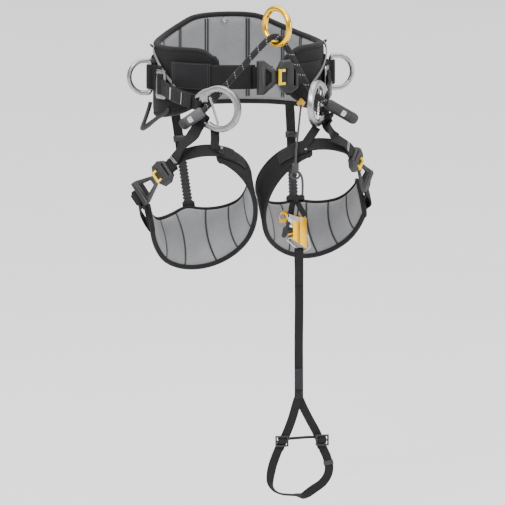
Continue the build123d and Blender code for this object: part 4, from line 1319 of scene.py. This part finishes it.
def finish_node(name, paint, edge):
    piece = NODES[name]
    piece.data.materials.clear()
    piece.data.materials.append(PAINTS[paint])
    if edge:
        weld = piece.modifiers.new("weld", "WELD")
        weld.merge_threshold = WELD_GAP
        soften(piece, edge)


SIDED_PIECES = [
    ("d_ring", "forged_aluminium", 0),
    ("gated_ring", "forged_aluminium", 1.8),
    ("leg_buckle_frame", "dark_plastic", 0.5),
    ("leg_buckle_body", "dark_plastic", 0.7),
    ("leg_latch", "latch_yellow", 0.5),
]
SINGLE_PIECES = [
    ("hip_adjusters", "dark_metal", 0.8),
    ("ring_bars", "bright_steel", 0),
    ("bridge_ring", "gold_ring", 0),
    ("waist_buckle_frame", "dark_plastic", 0.7),
    ("waist_buckle_body", "dark_plastic", 0.8),
    ("waist_latch", "latch_yellow", 0.5),
    ("cord_tab", "amber_tab", 0.5),
    ("ascender_frame", "gold_frame", 0.5),
    ("ascender_cam", "black_cam", 0.3),
    ("cam_axle", "bright_steel", 0.3),
    ("lower_link", "link_steel", 0),
    ("foot_sliders", "dark_plastic", 0.4),
    ("suspender_snap", "bright_steel", 0.8),
]


def finish_hard_nodes():
    """Every piece that keeps its CAD shape: its name, its paint and its edge rounding in millimetres."""
    sided = [(f"{side}_{name}", paint, edge) for side in SIDES for name, paint, edge in SIDED_PIECES]
    for name, paint, edge in sided + SINGLE_PIECES:
        finish_node(name, paint, edge * MM)


# ---- studio ---------------------------------------------------------------------------------
FLOOR_DROP = 0.045          # the object hangs this far above the floor
FLOOR_HALF = 16.0           # flat and wide: only very low views see its far edge


def make_studio():
    floor_z = CAD_BOX[0][2] - FLOOR_DROP
    corners = ((-1, -1), (1, -1), (1, 1), (-1, 1))
    verts = [(x * FLOOR_HALF, y * FLOOR_HALF, floor_z) for x, y in corners]
    data = bpy.data.meshes.new("studio_floor")
    data.from_pydata(verts, [], [(0, 1, 2, 3)])
    paint = Paint("studio_paper", 0.95)
    paint.tint(paint.speckle(3, 2), (0.86, 0.86, 0.86), (0.9, 0.9, 0.9))
    data.materials.append(paint.mat)
    floor = bpy.data.objects.new("studio_floor", data)
    bpy.context.collection.objects.link(floor)
    world = bpy.data.worlds.new("studio")
    world.use_nodes = True
    world.node_tree.nodes["Background"].inputs[0].default_value = (1, 1, 1, 1)
    world.node_tree.nodes["Background"].inputs[1].default_value = 0.5
    bpy.context.scene.world = world
    area_light("key", (-1.5, -2.0, 1.5), 1.0, 52)
    area_light("fill", (2.2, -1.4, 0.3), 0.9, 26)
    area_light("top", (0.1, 0.1, 2.0), 1.2, 8)
    area_light("ceiling", (0.1, 0.2, 7.0), 20.0, 2600, (0.1, 0.2, 0))


def area_light(name, place, size, power, aim=(0.03, -0.1, -0.2)):
    data = bpy.data.lights.new(name, "AREA")
    data.shape, data.size, data.energy = "SQUARE", size, power
    light = bpy.data.objects.new(name, data)
    light.location = place
    light.visible_camera = False
    light.rotation_euler = (Vector(aim) - Vector(place)).to_track_quat("-Z", "Y").to_euler()
    bpy.context.collection.objects.link(light)


# ---- build ----------------------------------------------------------------------------------
PAINTS = make_paints()
make_camera()
make_bridge_rope()
make_accessory_cord()
make_waist()
make_belt()
for side in SIDES:
    make_hip(side)
    make_leg_pad(side)
    make_leg_straps(side)
    make_risers(side)
    make_rear_riser(side)
make_gear_loop()
make_sleeves()
make_knot()
make_keeper()
make_ascender_details()
make_foot_strap()
finish_hard_nodes()
make_studio()
